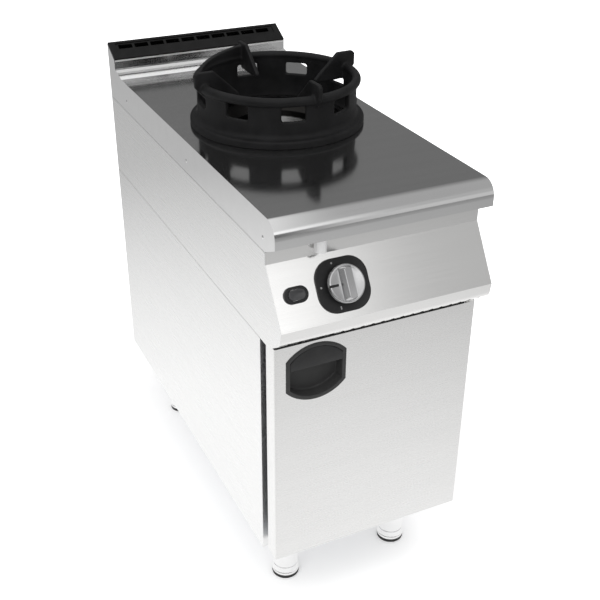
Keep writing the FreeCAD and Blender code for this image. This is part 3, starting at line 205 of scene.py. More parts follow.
def castIron():
    # matte black casting with sand grain and dull patches
    material, tree, shader = newMaterial("castIron")
    shader.inputs["Metallic"].default_value = 0.0
    shader.inputs["Specular IOR Level"].default_value = 0.16
    place = mappedCoords(tree, (1, 1, 1))
    patch = noise(tree, place, 28, 4, 0.6)
    grain = noise(tree, place, 520, 3, 0.65)
    tone = blendColours(tree, spread(tree, patch, 0, 1), (0.006, 0.006, 0.0063), (0.013, 0.013, 0.0135))
    tree.links.new(tone, shader.inputs["Base Color"])
    tree.links.new(spread(tree, patch, 0.48, 0.66), shader.inputs["Roughness"])
    addBump(tree, shader, grain, 0.35, 0.0006)
    return material


finishes["castIron"] = castIron()


def grainedPlain(name, low, high, rough, metal=0.0, grainScale=700, grain=0.12, specular=0.5):
    # a moulded or painted surface with a fine grain
    material, tree, shader = newMaterial(name)
    shader.inputs["Metallic"].default_value = metal
    shader.inputs["Specular IOR Level"].default_value = specular
    place = mappedCoords(tree, (1, 1, 1))
    cloud = noise(tree, place, 35, 3)
    fine = noise(tree, place, grainScale, 2)
    tree.links.new(blendColours(tree, spread(tree, cloud, 0, 1), low, high), shader.inputs["Base Color"])
    tree.links.new(spread(tree, fine, rough - 0.05, rough + 0.05), shader.inputs["Roughness"])
    addBump(tree, shader, fine, grain, 0.0003)
    return material


finishes["blackPlastic"] = grainedPlain(
    "blackPlastic", (0.015, 0.015, 0.0155), (0.021, 0.021, 0.0215), 0.42, specular=0.25
)
finishes["blackEnamel"] = grainedPlain(
    "blackEnamel", (0.004, 0.004, 0.004), (0.008, 0.008, 0.008), 0.4, 0, 300, 0.1, 0.12
)
finishes["blackRubber"] = grainedPlain("blackRubber", (0.018, 0.018, 0.018), (0.03, 0.03, 0.03), 0.7)
finishes["palePlastic"] = grainedPlain("palePlastic", (0.74, 0.73, 0.68), (0.8, 0.79, 0.74), 0.45)
finishes["ceramic"] = grainedPlain("ceramic", (0.82, 0.8, 0.76), (0.88, 0.86, 0.82), 0.2, 0, 200, 0.03)
finishes["leadSleeve"] = grainedPlain("leadSleeve", (0.32, 0.06, 0.04), (0.4, 0.09, 0.06), 0.5)
finishes["brass"] = grainedPlain("brass", (0.72, 0.52, 0.24), (0.8, 0.6, 0.3), 0.3, 1.0, 500, 0.08)
finishes["copper"] = grainedPlain("copper", (0.72, 0.38, 0.24), (0.8, 0.45, 0.3), 0.28, 1.0, 400, 0.08)
finishes["knobSatin"] = grainedPlain(
    "knobSatin", (0.55, 0.55, 0.555), (0.60, 0.60, 0.605), 0.22, 1.0, 600, 0.03
)
finishes["markPaint"] = grainedPlain("markPaint", (0.24, 0.24, 0.24), (0.30, 0.30, 0.30), 0.5, 0, 900, 0.05)
finishes["buttonPlastic"] = grainedPlain("buttonPlastic", (0.035, 0.035, 0.037), (0.05, 0.05, 0.052), 0.36)
# a lighter copy of the black plastic for the handle cup: painted light, lifting its deep recess out of its
# shade
finishes["handleLitPlastic"] = grainedPlain(
    "handleLitPlastic", (0.036, 0.036, 0.036), (0.042, 0.042, 0.042), 0.5, specular=0.3
)
finishes["visorPlastic"] = grainedPlain(
    "visorPlastic", (0.023, 0.023, 0.0235), (0.029, 0.029, 0.0295), 0.45, specular=0.3
)
finishes["tubeSteel"] = brushedMetal("tubeSteel", "z", (0.92, 0.92, 0.92), 0.008, 0.2, 0.03, 0.05)
# only partly metallic, to keep the small tube pale
finishes["sightSteel"] = brushedMetal("sightSteel", "z", (0.95, 0.95, 0.95), 0.005, 0.3, 0.03, 0.03, metal=0.35)
finishes["hemSteel"] = brushedMetal("hemSteel", "x", (0.90, 0.90, 0.895), 0.008, 0.34, 0.03, 0.03)
print("finishes made:", len(finishes))

# the finishes of the CAD nodes

nodeFinishes = {
    "sideSteel": "side_panel_left side_panel_right console_side_left console_side_right skirt_screws",
    "doorSteel": "door_skin",
    "panelSteel": "control_panel",
    "topSteel": "worktop flue_riser",
    "bowlPaintedReflection": "spill_bowl",
    "bowlSteel": "drip_tray",
    "zincSheet": "cabinet_floor back_panel belt_frame top_frame flue_duct burner_rails tray_runners "
    "door_liner hinge_bracket_upper hinge_bracket_lower pilot_bracket catch_strike",
    "castIron": "wok_ring burner_body burner_cap mixer_tube",
    "brightSteel": "air_shutter hinge_pins supply_pipe feed_pipe valve_stem",
    "sightSteel": "sight_tube",
    "tubeSteel": "leg_tubes foot_front_left foot_front_right foot_rear_left foot_rear_right",
    "brass": "gas_injector gas_inlet gas_valve valve_plug pilot_burner",
    "copper": "thermocouple pilot_pipe",
    "knobSatin": "knob",
    "blackPlastic": "knob_bezel igniter_bezel igniter_button door_catch handle_cup handle_visor",
    "blackEnamel": "flue_grille",
    "palePlastic": "piezo_igniter",
    "ceramic": "spark_electrode",
    "leadSleeve": "ignition_lead",
    "blackRubber": "foot_pad_front_left foot_pad_front_right foot_pad_rear_left foot_pad_rear_right",
}
for finish, names in nodeFinishes.items():
    for name in names.split():
        mesh = nodes[name].data
        mesh.materials.clear()
        mesh.materials.append(finishes[finish])
print("CAD nodes finished")

# pieces, from here on in metres; a piece's own frame is placed at the end


def shaped(name, work, finish, place=None, angle=32):
    # closes a bmesh into an object with its finish
    if place is not None:
        work.transform(place)
    bmesh.ops.remove_doubles(work, verts=work.verts, dist=0.000002)
    bmesh.ops.recalc_face_normals(work, faces=work.faces)
    mesh = bpy.data.meshes.new(name)
    work.to_mesh(mesh)
    work.free()
    mesh.shade_smooth()
    mesh.set_sharp_from_angle(angle=math.radians(angle))
    mesh.materials.append(finishes[finish])
    piece = bpy.data.objects.new(name, mesh)
    bpy.context.scene.collection.objects.link(piece)
    return piece


def settle(piece, angle=32):
    # applies what modifiers the piece has
    graph = bpy.context.evaluated_depsgraph_get()
    mesh = bpy.data.meshes.new_from_object(piece.evaluated_get(graph))
    mesh.name = piece.name
    piece.modifiers.clear()
    piece.data = mesh
    mesh.shade_smooth()
    mesh.set_sharp_from_angle(angle=math.radians(angle))


def combine(piece, tool, how):
    step = piece.modifiers.new("combine", "BOOLEAN")
    step.operation = how
    step.solver = "EXACT"
    step.object = tool
    settle(piece)
    bpy.data.objects.remove(tool)


def goesWith(piece, body, slot, *nodeNames):
    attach(piece, body)
    if nodeNames:
        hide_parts(*nodeNames)


def spun(work, profile, steps, closed=False):
    # turns a half section of (radius, height) points about Z
    points = [work.verts.new((r, 0, z)) for r, z in profile]
    pairs = list(zip(points, points[1:]))
    if closed:
        pairs.append((points[-1], points[0]))
    lines = [work.edges.new(pair) for pair in pairs]
    bmesh.ops.spin(
        work, geom=points + lines, cent=(0, 0, 0), axis=(0, 0, 1), angle=math.tau, steps=steps, use_merge=True
    )
    bmesh.ops.remove_doubles(work, verts=work.verts, dist=0.000002)


def arc(centre, radius, start, end, count):
    # points of a rounded corner in a half section
    turn = [math.radians(start + (end - start) * i / count) for i in range(count + 1)]
    return [(centre[0] + radius * math.cos(t), centre[1] + radius * math.sin(t)) for t in turn]


def roundEdges(work, width, segments=2, angle=30, only=None):
    # bevels every edge sharper than the angle
    sharp = [
        e for e in work.edges
        if e.is_manifold and e.calc_face_angle() > math.radians(angle) and (only is None or only(e))
    ]
    bmesh.ops.bevel(
        work, geom=sharp, offset=width, offset_type="OFFSET", segments=segments, profile=0.5,
        affect="EDGES", clamp_overlap=True, material=-1
    )


def block(work, low, high):
    made = bmesh.ops.create_cube(work, size=1)["verts"]
    middle = [(a + b) / 2 for a, b in zip(low, high)]
    size = [b - a for a, b in zip(low, high)]
    bmesh.ops.scale(work, vec=size, verts=made)
    bmesh.ops.translate(work, vec=middle, verts=made)
    return made


def blockOf(low, high):
    work = bmesh.new()
    block(work, low, high)
    return work


def pulled(work, faces, offset):
    # extrudes faces and moves them, and gives the new faces
    made = bmesh.ops.extrude_face_region(work, geom=faces)["geom"]
    moved = [v for v in made if isinstance(v, bmesh.types.BMVert)]
    bmesh.ops.translate(work, vec=offset, verts=moved)
    bmesh.ops.delete(work, geom=[f for f in faces if f.is_valid], context="FACES_ONLY")
    return [f for f in made if isinstance(f, bmesh.types.BMFace)]


# the slanted panel's own frame: x across, y up along the face, z out of it
panel = {"faceY": -0.425, "faceZ": 0.717, "lean": 57.724}


def onPanel(x):
    return Matrix.Translation((x, panel["faceY"], panel["faceZ"])) @ Matrix.Rotation(
        math.radians(panel["lean"]), 4, "X"
    )


# wok ring: one iron casting, its wall pierced by nine windows that aren't quite evenly spaced

wokRing = {
    "bore": 0.142, "outer": 0.151, "foot": 0.1655, "footHeight": 0.014, "footRound": 0.005,
    "fillet": 0.010, "height": 0.081, "bead": 0.0085, "beadInset": 0.002,
    "windows": [
        (-95.8, 0.0730), (-55.8, 0.0730), (-15.8, 0.0730), (24.2, 0.0730), (60, 0.0700),
        (97, 0.0680), (137, 0.0680), (177, 0.0680), (220, 0.0700),
    ],  # degrees from the front prong, and the window's top
    "windowWidth": 0.044, "windowLow": 0.0450, "windowRound": 0.004,
    "prongs": 4, "prongWall": 0.008,
    "prongSide": [
        (0.146, 0.060), (0.081, 0.058), (0.081, 0.065), (0.130, 0.1115), (0.162, 0.1115),
        (0.167, 0.1065), (0.167, 0.084), (0.157, 0.073),
    ],
    "shieldSweep": 58, "shieldHigh": 0.108, "shieldLow": 0.089,
    "turn": 3, "place": (0, -0.002, 0.850), "grain": 0.0017, "soften": 2,
}


def makeWokRing(s):
    work = bmesh.new()
    top, bead = s["height"], s["bead"]
    profile = [(s["bore"], 0), (s["foot"], 0)]
    profile += arc((s["foot"] - s["footRound"], s["footHeight"] - s["footRound"]), s["footRound"], 0, 90, 5)
    profile += arc((s["outer"] + s["fillet"], s["footHeight"] + s["fillet"]), s["fillet"], 270, 180, 6)
    profile += arc((s["outer"] - s["beadInset"], top), bead, -76, 180, 18)
    profile += [(s["bore"], top - bead / 3)]
    spun(work, profile, 144, closed=True)
    ring = shaped("wokRing", work, "castIron")

    # windows, each cut at its own place in the wall
    work = bmesh.new()
    half = s["windowWidth"] / 2
    for turn, top in s["windows"]:
        single = blockOf((-half, -s["foot"], s["windowLow"]), (half, -s["bore"] * 0.8, top))
        corners = [e for e in single.edges if abs((e.verts[0].co - e.verts[1].co).y) > 0.01]
        bmesh.ops.bevel(
            single, geom=corners, offset=s["windowRound"], segments=4,
            profile=0.5, affect="EDGES", material=-1
        )
        single.transform(Matrix.Rotation(math.radians(turn), 4, "Z"))
        mesh = bpy.data.meshes.new("window")
        single.to_mesh(mesh)
        single.free()
        work.from_mesh(mesh)
    combine(ring, shaped("windowTool", work, "castIron"), "DIFFERENCE")

    # prongs and shield, joined to the wall before the whole is cast in one skin
    work = bmesh.new()
    work.from_mesh(ring.data)
    extra = bmesh.new()
    half = s["prongWall"] / 2
    outline = [extra.verts.new((-half, -r, z)) for r, z in s["prongSide"]]
    side = extra.faces.new(outline)
    made = bmesh.ops.extrude_face_region(extra, geom=[side])["geom"]
    bmesh.ops.translate(
        extra, vec=(s["prongWall"], 0, 0), verts=[v for v in made if isinstance(v, bmesh.types.BMVert)]
    )
    extra.faces.ensure_lookup_table()
    bmesh.ops.recalc_face_normals(extra, faces=extra.faces)
    bmesh.ops.spin(
        extra, geom=extra.verts[:] + extra.edges[:] + extra.faces[:], cent=(0, 0, 0), axis=(0, 0, 1),
        angle=math.tau * (s["prongs"] - 1) / s["prongs"], steps=s["prongs"] - 1, use_duplicate=True
    )
    prongs = bpy.data.meshes.new("prongs")
    extra.to_mesh(prongs)
    extra.free()
    work.from_mesh(prongs)

    shield = bmesh.new()
    low = s["height"] - s["bead"]
    section = [(s["bore"], low), (s["outer"], low)]
    section += [(s["outer"], s["shieldHigh"]), (s["bore"], s["shieldHigh"])]
    start = shield.faces.new([shield.verts.new((0, r, z)) for r, z in section])
    bmesh.ops.spin(
        shield, geom=[start], cent=(0, 0, 0), axis=(0, 0, 1), angle=math.radians(s["shieldSweep"]), steps=30
    )
    bmesh.ops.recalc_face_normals(shield, faces=shield.faces)
    sweep = math.radians(s["shieldSweep"])
    chord = Vector((-math.sin(sweep), math.cos(sweep) - 1, 0)) * s["outer"]
    fall = math.atan2(s["shieldHigh"] - s["shieldLow"], chord.length)
    up = chord.normalized() * math.sin(fall) + Vector((0, 0, math.cos(fall)))
    cut = bmesh.ops.bisect_plane(
        shield, geom=shield.verts[:] + shield.edges[:] + shield.faces[:],
        plane_co=(0, s["outer"], s["shieldHigh"]), plane_no=up, clear_outer=True
    )
    rim = [e for e in cut["geom_cut"] if isinstance(e, bmesh.types.BMEdge)]
    bmesh.ops.contextual_create(shield, geom=rim)
    extraMesh = bpy.data.meshes.new("shield")
    shield.to_mesh(extraMesh)
    shield.free()
    work.from_mesh(extraMesh)
    work.to_mesh(ring.data)
    work.free()

    skin = ring.modifiers.new("skin", "REMESH")
    skin.mode = "VOXEL"
    skin.voxel_size = s["grain"]
    skin.use_smooth_shade = True
    settle(ring, 80)
    work = bmesh.new()
    work.from_mesh(ring.data)
    for _ in range(s["soften"]):
        bmesh.ops.smooth_vert(
            work, verts=work.verts, factor=0.5, use_axis_x=True, use_axis_y=True, use_axis_z=True
        )
    work.transform(Matrix.Translation(s["place"]) @ Matrix.Rotation(math.radians(s["turn"]), 4, "Z"))
    work.to_mesh(ring.data)
    work.free()
    goesWith(ring, "wok_ring", "cast_iron", "wok_ring")
    return ring


ring = makeWokRing(wokRing)
print("wok ring cast,", len(ring.data.polygons), "faces")

# knob, with a black mark let into its rim

knob = {
    "x": -0.076, "radius": 0.032, "base": 0.0085, "disc": 0.020, "top": 0.031,
    "rimRound": 0.0028, "bore": 0.004, "boreDepth": 0.014,
    "gripWidth": 0.025, "gripReach": 0.0296, "gripTaper": 0.55, "gripEnds": 0.86,
    "gripFall": 0.15, "gripShift": 0.001, "gripRound": 0.0012,
    "markLength": 0.0165, "markWidth": 0.0042, "markDepth": 0.0016,
}


def makeKnob(s):
    r, disc = s["radius"], s["disc"]
    boreTop = s["base"] + s["boreDepth"]
    work = bmesh.new()
    profile = [(0, boreTop - 0.004), (s["bore"], boreTop - 0.004)]
    profile += [(s["bore"], s["base"]), (r - 0.0012, s["base"])]
    profile += arc((r - 0.0012, s["base"] + 0.0012), 0.0012, -90, 0, 3)
    profile += [(r, disc - 0.0065), (r - 0.0005, disc - 0.006)]
    profile += [(r - 0.0005, disc - 0.0052), (r, disc - 0.0047)]
    profile += arc((r - s["rimRound"], disc - s["rimRound"]), s["rimRound"], 0, 90, 6)
    profile += [(r - 0.0045, disc - 0.0006), (0, disc - 0.0006)]
    spun(work, profile, 120)
    body = shaped("knob", work, "knobSatin")

    work = bmesh.new()
    bmesh.ops.create_circle(work, cap_ends=True, radius=s["gripReach"], segments=96)
    half = s["gripWidth"] / 2
    for side in (-1, 1):
        bmesh.ops.bisect_plane(
            work, geom=work.verts[:] + work.edges[:] + work.faces[:],
            plane_co=(half * side, 0, 0), plane_no=(side, 0, 0), clear_outer=True
        )
    bmesh.ops.translate(work, vec=(0, 0, disc - 0.003), verts=work.verts)
    lifted = pulled(work, work.faces[:], (0, 0, s["top"] - disc + 0.003))
    bmesh.ops.scale(work, vec=(s["gripTaper"], s["gripEnds"], 1), verts=lifted[0].verts)
    for corner in lifted[0].verts:
        corner.co.z -= corner.co.x * s["gripFall"]
        corner.co.x += s["gripShift"]
    bmesh.ops.holes_fill(work, edges=[e for e in work.edges if e.is_boundary], sides=0)
    bmesh.ops.recalc_face_normals(work, faces=work.faces)
    roundEdges(work, s["gripRound"], 3, 40)
    combine(body, shaped("gripTool", work, "knobSatin"), "UNION")

    far = -r - 0.001
    low = (far, -s["markWidth"] / 2, disc - s["markDepth"])
    high = (-r + s["markLength"], s["markWidth"] / 2, disc + 0.001)
    combine(body, shaped("markTool", blockOf(low, high), "knobSatin"), "DIFFERENCE")
    body.data.transform(onPanel(s["x"]))
    goesWith(body, "knob", "knob_metal", "knob")

    # the mark fills its groove to a hair below the face
    work = blockOf((-r + 0.0004, low[1], low[2]), (high[0], high[1], disc - 0.0007))
    roundEdges(work, 0.0002, 1)
    mark = shaped("knobMark", work, "blackPlastic", onPanel(s["x"]))
    goesWith(mark, "knob", "black_plastic")


makeKnob(knob)
print("knob turned")

# knob bezel, a moulded plate with a raised lip and its position marks

bezel = {
    "x": -0.076, "width": 0.094, "height": 0.090, "corner": 0.033, "wall": 0.0035,
    "lip": 0.0042, "sink": 0.0009, "hole": 0.006,
    "dots": [(177.7, 0.0395), (108.6, 0.0395)], "dotRadius": 0.0018,
    "tick": (251, 0.0388), "tickSize": (0.0024, 0.0052), "markHeight": 0.00025,
}


def makeBezel(s):
    work = bmesh.new()
    u, v = s["width"] / 2, s["height"] / 2
    block(work, (-u, -v, 0), (u, v, s["wall"]))
    upright = [e for e in work.edges if abs((e.verts[0].co - e.verts[1].co).z) > 0.001]
    bmesh.ops.bevel(
        work, geom=upright, offset=s["corner"], segments=16, profile=0.5, affect="EDGES", material=-1
    )
    top = [f for f in work.faces if f.normal.z > 0.9]
    bmesh.ops.inset_region(work, faces=top, thickness=s["lip"], depth=-s["sink"], use_even_offset=True)
    roundEdges(work, 0.0007, 3, 40)
    plate = shaped("knobBezel", work, "blackPlastic")
    work = bmesh.new()
    bmesh.ops.create_cone(
        work, cap_ends=True, segments=48, radius1=s["hole"], radius2=s["hole"], depth=0.02
    )
    combine(plate, shaped("holeTool", work, "blackPlastic"), "DIFFERENCE")
    plate.data.transform(onPanel(s["x"]))
    goesWith(plate, "cabinet", "black_plastic", "knob_bezel")

    # pale printed dots and a tick, laid on the sunk face
    work = bmesh.new()
    floor = s["wall"] - s["sink"]
    for angle, reach in s["dots"]:
        made = bmesh.ops.create_cone(
            work, cap_ends=True, segments=20, radius1=s["dotRadius"], radius2=s["dotRadius"] * 0.9,
            depth=s["markHeight"]
        )["verts"]
        turn = math.radians(angle)
        spot = (reach * math.cos(turn), reach * math.sin(turn), floor + s["markHeight"] / 2)
        bmesh.ops.translate(work, vec=spot, verts=made)
    angle, reach = s["tick"]
    wide, tall = s["tickSize"]
    spot = (reach * math.cos(math.radians(angle)), reach * math.sin(math.radians(angle)))
    block(
        work, (spot[0] - wide / 2, spot[1] - tall / 2, floor),
        (spot[0] + wide / 2, spot[1] + tall / 2, floor + s["markHeight"])
    )
    marks = shaped("bezelMarks", work, "markPaint", onPanel(s["x"]))
    goesWith(marks, "cabinet", "pale_plastic")


makeBezel(bezel)

# igniter: an oval collar with a dished button in it

igniter = {
    "x": -0.160, "width": 0.042, "height": 0.028, "wall": 0.005,
    "buttonWidth": 0.030, "buttonHeight": 0.018, "gap": 0.0003,
    "buttonLow": 0.0046, "buttonTop": 0.0075, "stem": 0.006, "stemDepth": 0.014,
}


def ovalPlate(work, width, height, low, high):
    # a plate with round ends
    radius, reach = height / 2, (width - height) / 2
    made = bmesh.ops.create_circle(work, cap_ends=True, radius=radius, segments=64)["verts"]
    halfStep = Matrix.Rotation(math.radians(360 / 128), 3, "Z")
    bmesh.ops.rotate(work, cent=(0, 0, 0), matrix=halfStep, verts=made)
    for v in made:
        v.co.x += math.copysign(reach, v.co.x)
        v.co.z = low
    face = made[0].link_faces[0]
    lifted = bmesh.ops.extrude_face_region(work, geom=[face])["geom"]
    bmesh.ops.translate(
        work, vec=(0, 0, high - low), verts=[v for v in lifted if isinstance(v, bmesh.types.BMVert)]
    )
    bmesh.ops.recalc_face_normals(work, faces=work.faces)


def makeIgniter(s):
    work = bmesh.new()
    ovalPlate(work, s["width"], s["height"], 0, s["wall"])
    roundEdges(work, 0.0016, 4, 40, lambda e: e.verts[0].co.z > 0.001)
    collar = shaped("igniterBezel", work, "blackPlastic")
    work = bmesh.new()
    ovalPlate(work, s["buttonWidth"], s["buttonHeight"], -0.001, s["wall"] + 0.001)
    combine(collar, shaped("openingTool", work, "blackPlastic"), "DIFFERENCE")
    collar.data.transform(onPanel(s["x"]))
    goesWith(collar, "cabinet", "black_plastic", "igniter_bezel")

    work = bmesh.new()
    ovalPlate(
        work, s["buttonWidth"] - s["gap"] * 2, s["buttonHeight"] - s["gap"] * 2,
        s["buttonLow"], s["buttonTop"]
    )
    top = [f for f in work.faces if f.normal.z > 0.9]
    bmesh.ops.inset_region(work, faces=top, thickness=0.0026, depth=0, use_even_offset=True)
    top = [f for f in work.faces if f.normal.z > 0.9 and len(f.verts) > 20]
    bmesh.ops.inset_region(work, faces=top, thickness=0.0020, depth=-0.0012, use_even_offset=True)
    roundEdges(work, 0.0009, 3, 40)
    button = shaped("igniterButton", work, "buttonPlastic")
    work = bmesh.new()
    made = bmesh.ops.create_cone(
        work, cap_ends=True, segments=40, radius1=s["stem"], radius2=s["stem"],
        depth=s["stemDepth"] + s["buttonLow"] + 0.0005
    )["verts"]
    bmesh.ops.translate(
        work, vec=(0, 0, (s["buttonLow"] + 0.0005 - s["stemDepth"]) / 2), verts=made
    )
    combine(button, shaped("stemTool", work, "buttonPlastic"), "UNION")
    button.data.transform(onPanel(s["x"]))
    goesWith(button, "igniter_button", "black_plastic", "igniter_button")


makeIgniter(igniter)
print("bezels and igniter made")

# recessed door handle: a cup with straight sides and arched top and bottom, and an upper plate

handle = {
    "x": -0.1185, "z": 0.558, "width": 0.113, "height": 0.1125, "rise": 0.026,
    "rim": 0.005, "wall": 0.0025, "front": -0.4215, "doorFront": -0.420, "back": -0.396,
    "innerRise": 0.024,
    "visorFront": -0.4218, "visorWall": 0.004, "visorLow": 0.5695,
}


def barrel(work, x, z, width, height, rise, y):
    # a flat face with straight sides and arched ends, facing the front
    made = bmesh.ops.create_grid(work, x_segments=24, y_segments=1, size=1)["verts"]
    u, v = width / 2, height / 2
    radius = (u * u + rise * rise) / (rise * 2)
    for point in made:
        across = point.co.x * u
        drop = radius - math.sqrt(radius * radius - across * across)
        up = math.copysign(v - drop, point.co.y)
        point.co = (x + across, y, z + up)
    faces = list({f for p in made for f in p.link_faces})
    return bmesh.ops.dissolve_faces(work, faces=faces)["region"][0]


def makeHandleCup(s):
    work = bmesh.new()
    face = barrel(work, s["x"], s["z"], s["width"], s["height"], s["rise"], s["doorFront"])
    pulledFace = bmesh.ops.extrude_face_region(work, geom=[face])["geom"]
    bmesh.ops.translate(
        work, vec=(0, s["front"] - s["doorFront"], 0),
        verts=[v for v in pulledFace if isinstance(v, bmesh.types.BMVert)]
    )
    bmesh.ops.recalc_face_normals(work, faces=work.faces)
    rear = [f for f in work.faces if f.normal.y > 0.9]
    bmesh.ops.inset_region(work, faces=rear, thickness=s["rim"], use_even_offset=True)
    rear = [f for f in work.faces if f.normal.y > 0.9 and len(f.verts) > 20]
    pulled(work, rear, (0, s["back"] - s["doorFront"], 0))
    front = [f for f in work.faces if f.normal.y < -0.9]
    bmesh.ops.inset_region(work, faces=front, thickness=s["rim"] + s["wall"], use_even_offset=True)
    front = [f for f in work.faces if f.normal.y < -0.9 and len(f.verts) > 20]
    pulled(work, front, (0, s["back"] - s["wall"] - s["front"], 0))
    bmesh.ops.recalc_face_normals(work, faces=work.faces)
    roundEdges(work, 0.0011, 3, 50, lambda e: e.verts[0].co.y < s["doorFront"] - 0.0005)
    roundEdges(work, 0.003, 3, 50, lambda e: min(p.co.y for p in e.verts) > s["back"] - s["wall"] - 0.0005)
    cup = shaped("handleCup", work, "handleLitPlastic")
    goesWith(cup, "door", "black_plastic", "handle_cup")


def makeVisor(s):
    work = bmesh.new()
    width = s["width"] - (s["rim"] + s["wall"]) * 2
    height = s["height"] - (s["rim"] + s["wall"]) * 2
    barrel(work, s["x"], s["z"], width, height, s["innerRise"] - 0.001, s["visorFront"] + s["visorWall"])
    bmesh.ops.bisect_plane(
        work, geom=work.verts[:] + work.edges[:] + work.faces[:],
        plane_co=(0, 0, s["visorLow"]), plane_no=(0, 0, -1), clear_outer=True
    )
    made = bmesh.ops.extrude_face_region(work, geom=work.faces[:])["geom"]
    bmesh.ops.translate(
        work, vec=(0, -s["visorWall"], 0), verts=[v for v in made if isinstance(v, bmesh.types.BMVert)]
    )
    bmesh.ops.recalc_face_normals(work, faces=work.faces)
    roundEdges(work, 0.0006, 3, 50, lambda e: e.verts[0].co.y < s["visorFront"] + 0.001)
    visor = shaped("handleVisor", work, "visorPlastic")
    low = s["z"] + height / 4
    reach = width * 0.42
    rib = blockOf(
        (s["x"] - reach, s["visorFront"] + s["visorWall"] - 0.001, low),
        (s["x"] + reach, s["back"] - s["wall"], low + s["wall"])
    )
    combine(visor, shaped("ribTool", rib, "visorPlastic"), "UNION")
    goesWith(visor, "door", "black_plastic", "handle_visor")


makeHandleCup(handle)
makeVisor(handle)
print("handle moulded")

# bright folded hem along the top of the flue's front, under the black cap

hem = {"reach": 0.1985, "low": (0.4004, 0.8768), "high": (0.4020, 0.8796), "round": 0.0009}


def makeHem(s):
    work = blockOf((-s["reach"], *s["low"]), (s["reach"], *s["high"]))
    roundEdges(work, s["round"], 4, only=lambda e: max(v.co.y for v in e.verts) < s["high"][0] - 0.0002)
    goesWith(shaped("flueHem", work, "hemSteel"), "cabinet", "stainless_top")


makeHem(hem)

# painted shade: a black rubber strip along the top edge of the door, clear of the hinge pin, filling the
# shadowed gap under the control panel

gapShade = {"low": (-0.1945, -0.4193, 0.619), "high": (0.172, -0.390, 0.6206), "round": 0.0005}


def makeGapShade(s):
    # a black sheet standing for the shadow in the gap
    work = blockOf(s["low"], s["high"])
    roundEdges(work, s["round"], 2)
    goesWith(shaped("doorGapShade", work, "blackRubber"), "door", "black_rubber")


makeGapShade(gapShade)

# domed screws with a cross recess, in the worktop's skirt

screws = {
    "places": [(-0.388, 0.811), (-0.0395, 0.811), (0.330, 0.811)],
    "radius": 0.0032, "head": 0.0012, "shank": 0.0015, "shankLength": 0.0035,
    "cross": 0.0036, "crossWidth": 0.0007, "crossDepth": 0.0006, "face": 0.2,
}


def makeScrews(s):
    work = bmesh.new()
    dome = (s["radius"] ** 2 + s["head"] ** 2) / (s["head"] * 2)
    reach = math.degrees(math.asin(s["radius"] / dome))
    profile = [(0, -s["shankLength"]), (s["shank"], -s["shankLength"]), (s["shank"], 0)]
    profile += arc((0, s["head"] - dome), dome, 90 - reach, 90, 7)
    spun(work, profile, 28)
    single = shaped("skirtScrews", work, "sideSteel")
    for turn in (0, 90):
        bar = blockOf(
            (-s["cross"] / 2, -s["crossWidth"] / 2, s["head"] - s["crossDepth"]),
            (s["cross"] / 2, s["crossWidth"] / 2, s["head"] + 0.001)
        )
        bar.transform(Matrix.Rotation(math.radians(turn + 20), 4, "Z"))
        combine(single, shaped("crossTool", bar, "sideSteel"), "DIFFERENCE")
    work = bmesh.new()
    for side in (-1, 1):
        for y, z in s["places"]:
            copy = single.data.copy()
            outward = Matrix.Rotation(math.radians(90 * side), 4, "Y")
            copy.transform(Matrix.Translation((side * s["face"], y, z)) @ outward)
            work.from_mesh(copy)
            bpy.data.meshes.remove(copy)
    bmesh.ops.recalc_face_normals(work, faces=work.faces)
    work.to_mesh(single.data)
    work.free()
    goesWith(single, "cabinet", "bright_steel", "skirt_screws")


makeScrews(screws)

# feet: each a turned base on a threaded stem, with a rubber pad under it

feet = {
    "places": {
        "front_left": (-0.123, -0.305), "front_right": (0.123, -0.305),
        "rear_left": (-0.123, 0.325), "rear_right": (0.123, 0.325),
    },
    "radius": 0.027, "taper": 0.002, "height": 0.026, "pad": 0.007, "stem": 0.02245, "stemTop": 0.072,
}


def makeFeet(s):
    for name, (x, y) in s["places"].items():
        here = Matrix.Translation((x, y, 0))
        r, top = s["radius"], s["height"]
        work = bmesh.new()
        profile = [(0, s["pad"]), (r - 0.001, s["pad"])]
        profile += arc((r - 0.0012, s["pad"] + 0.0012), 0.0012, -90, 0, 3)[1:]
        profile += [(r, 0.0125), (r - 0.0009, 0.0138), (r - 0.0011, 0.0152)]
        profile += arc((r - s["taper"] - 0.0018, top - 0.0018), 0.0018, 10, 90, 4)
        profile += [(s["stem"], top)]
        pitch = 0.003
        turns = int((s["stemTop"] - top - 0.004) / pitch)
        for i in range(turns):
            z = top + 0.002 + pitch * i
            profile += [(s["stem"], z), (s["stem"] - 0.0009, z + pitch / 2)]
        profile += [(s["stem"], s["stemTop"] - 0.0015), (s["stem"] - 0.0015, s["stemTop"]), (0, s["stemTop"])]
        spun(work, profile, 72)
        base = shaped("foot." + name, work, "tubeSteel", here)
        goesWith(base, "foot_" + name, "bright_tube", "foot_" + name)

        work = bmesh.new()
        profile = [(0, 0)] + arc((r - 0.001, 0.001), 0.001, -90, 0, 3)
        profile += arc((r - 0.0008, s["pad"] - 0.0008), 0.0008, 0, 90, 3) + [(0, s["pad"])]
        spun(work, profile, 72)
        pad = shaped("footPad." + name, work, "blackRubber", here)
        goesWith(pad, "foot_" + name, "black_rubber", "foot_pad_" + name)


makeFeet(feet)
print("screws and feet made")

# floor and light

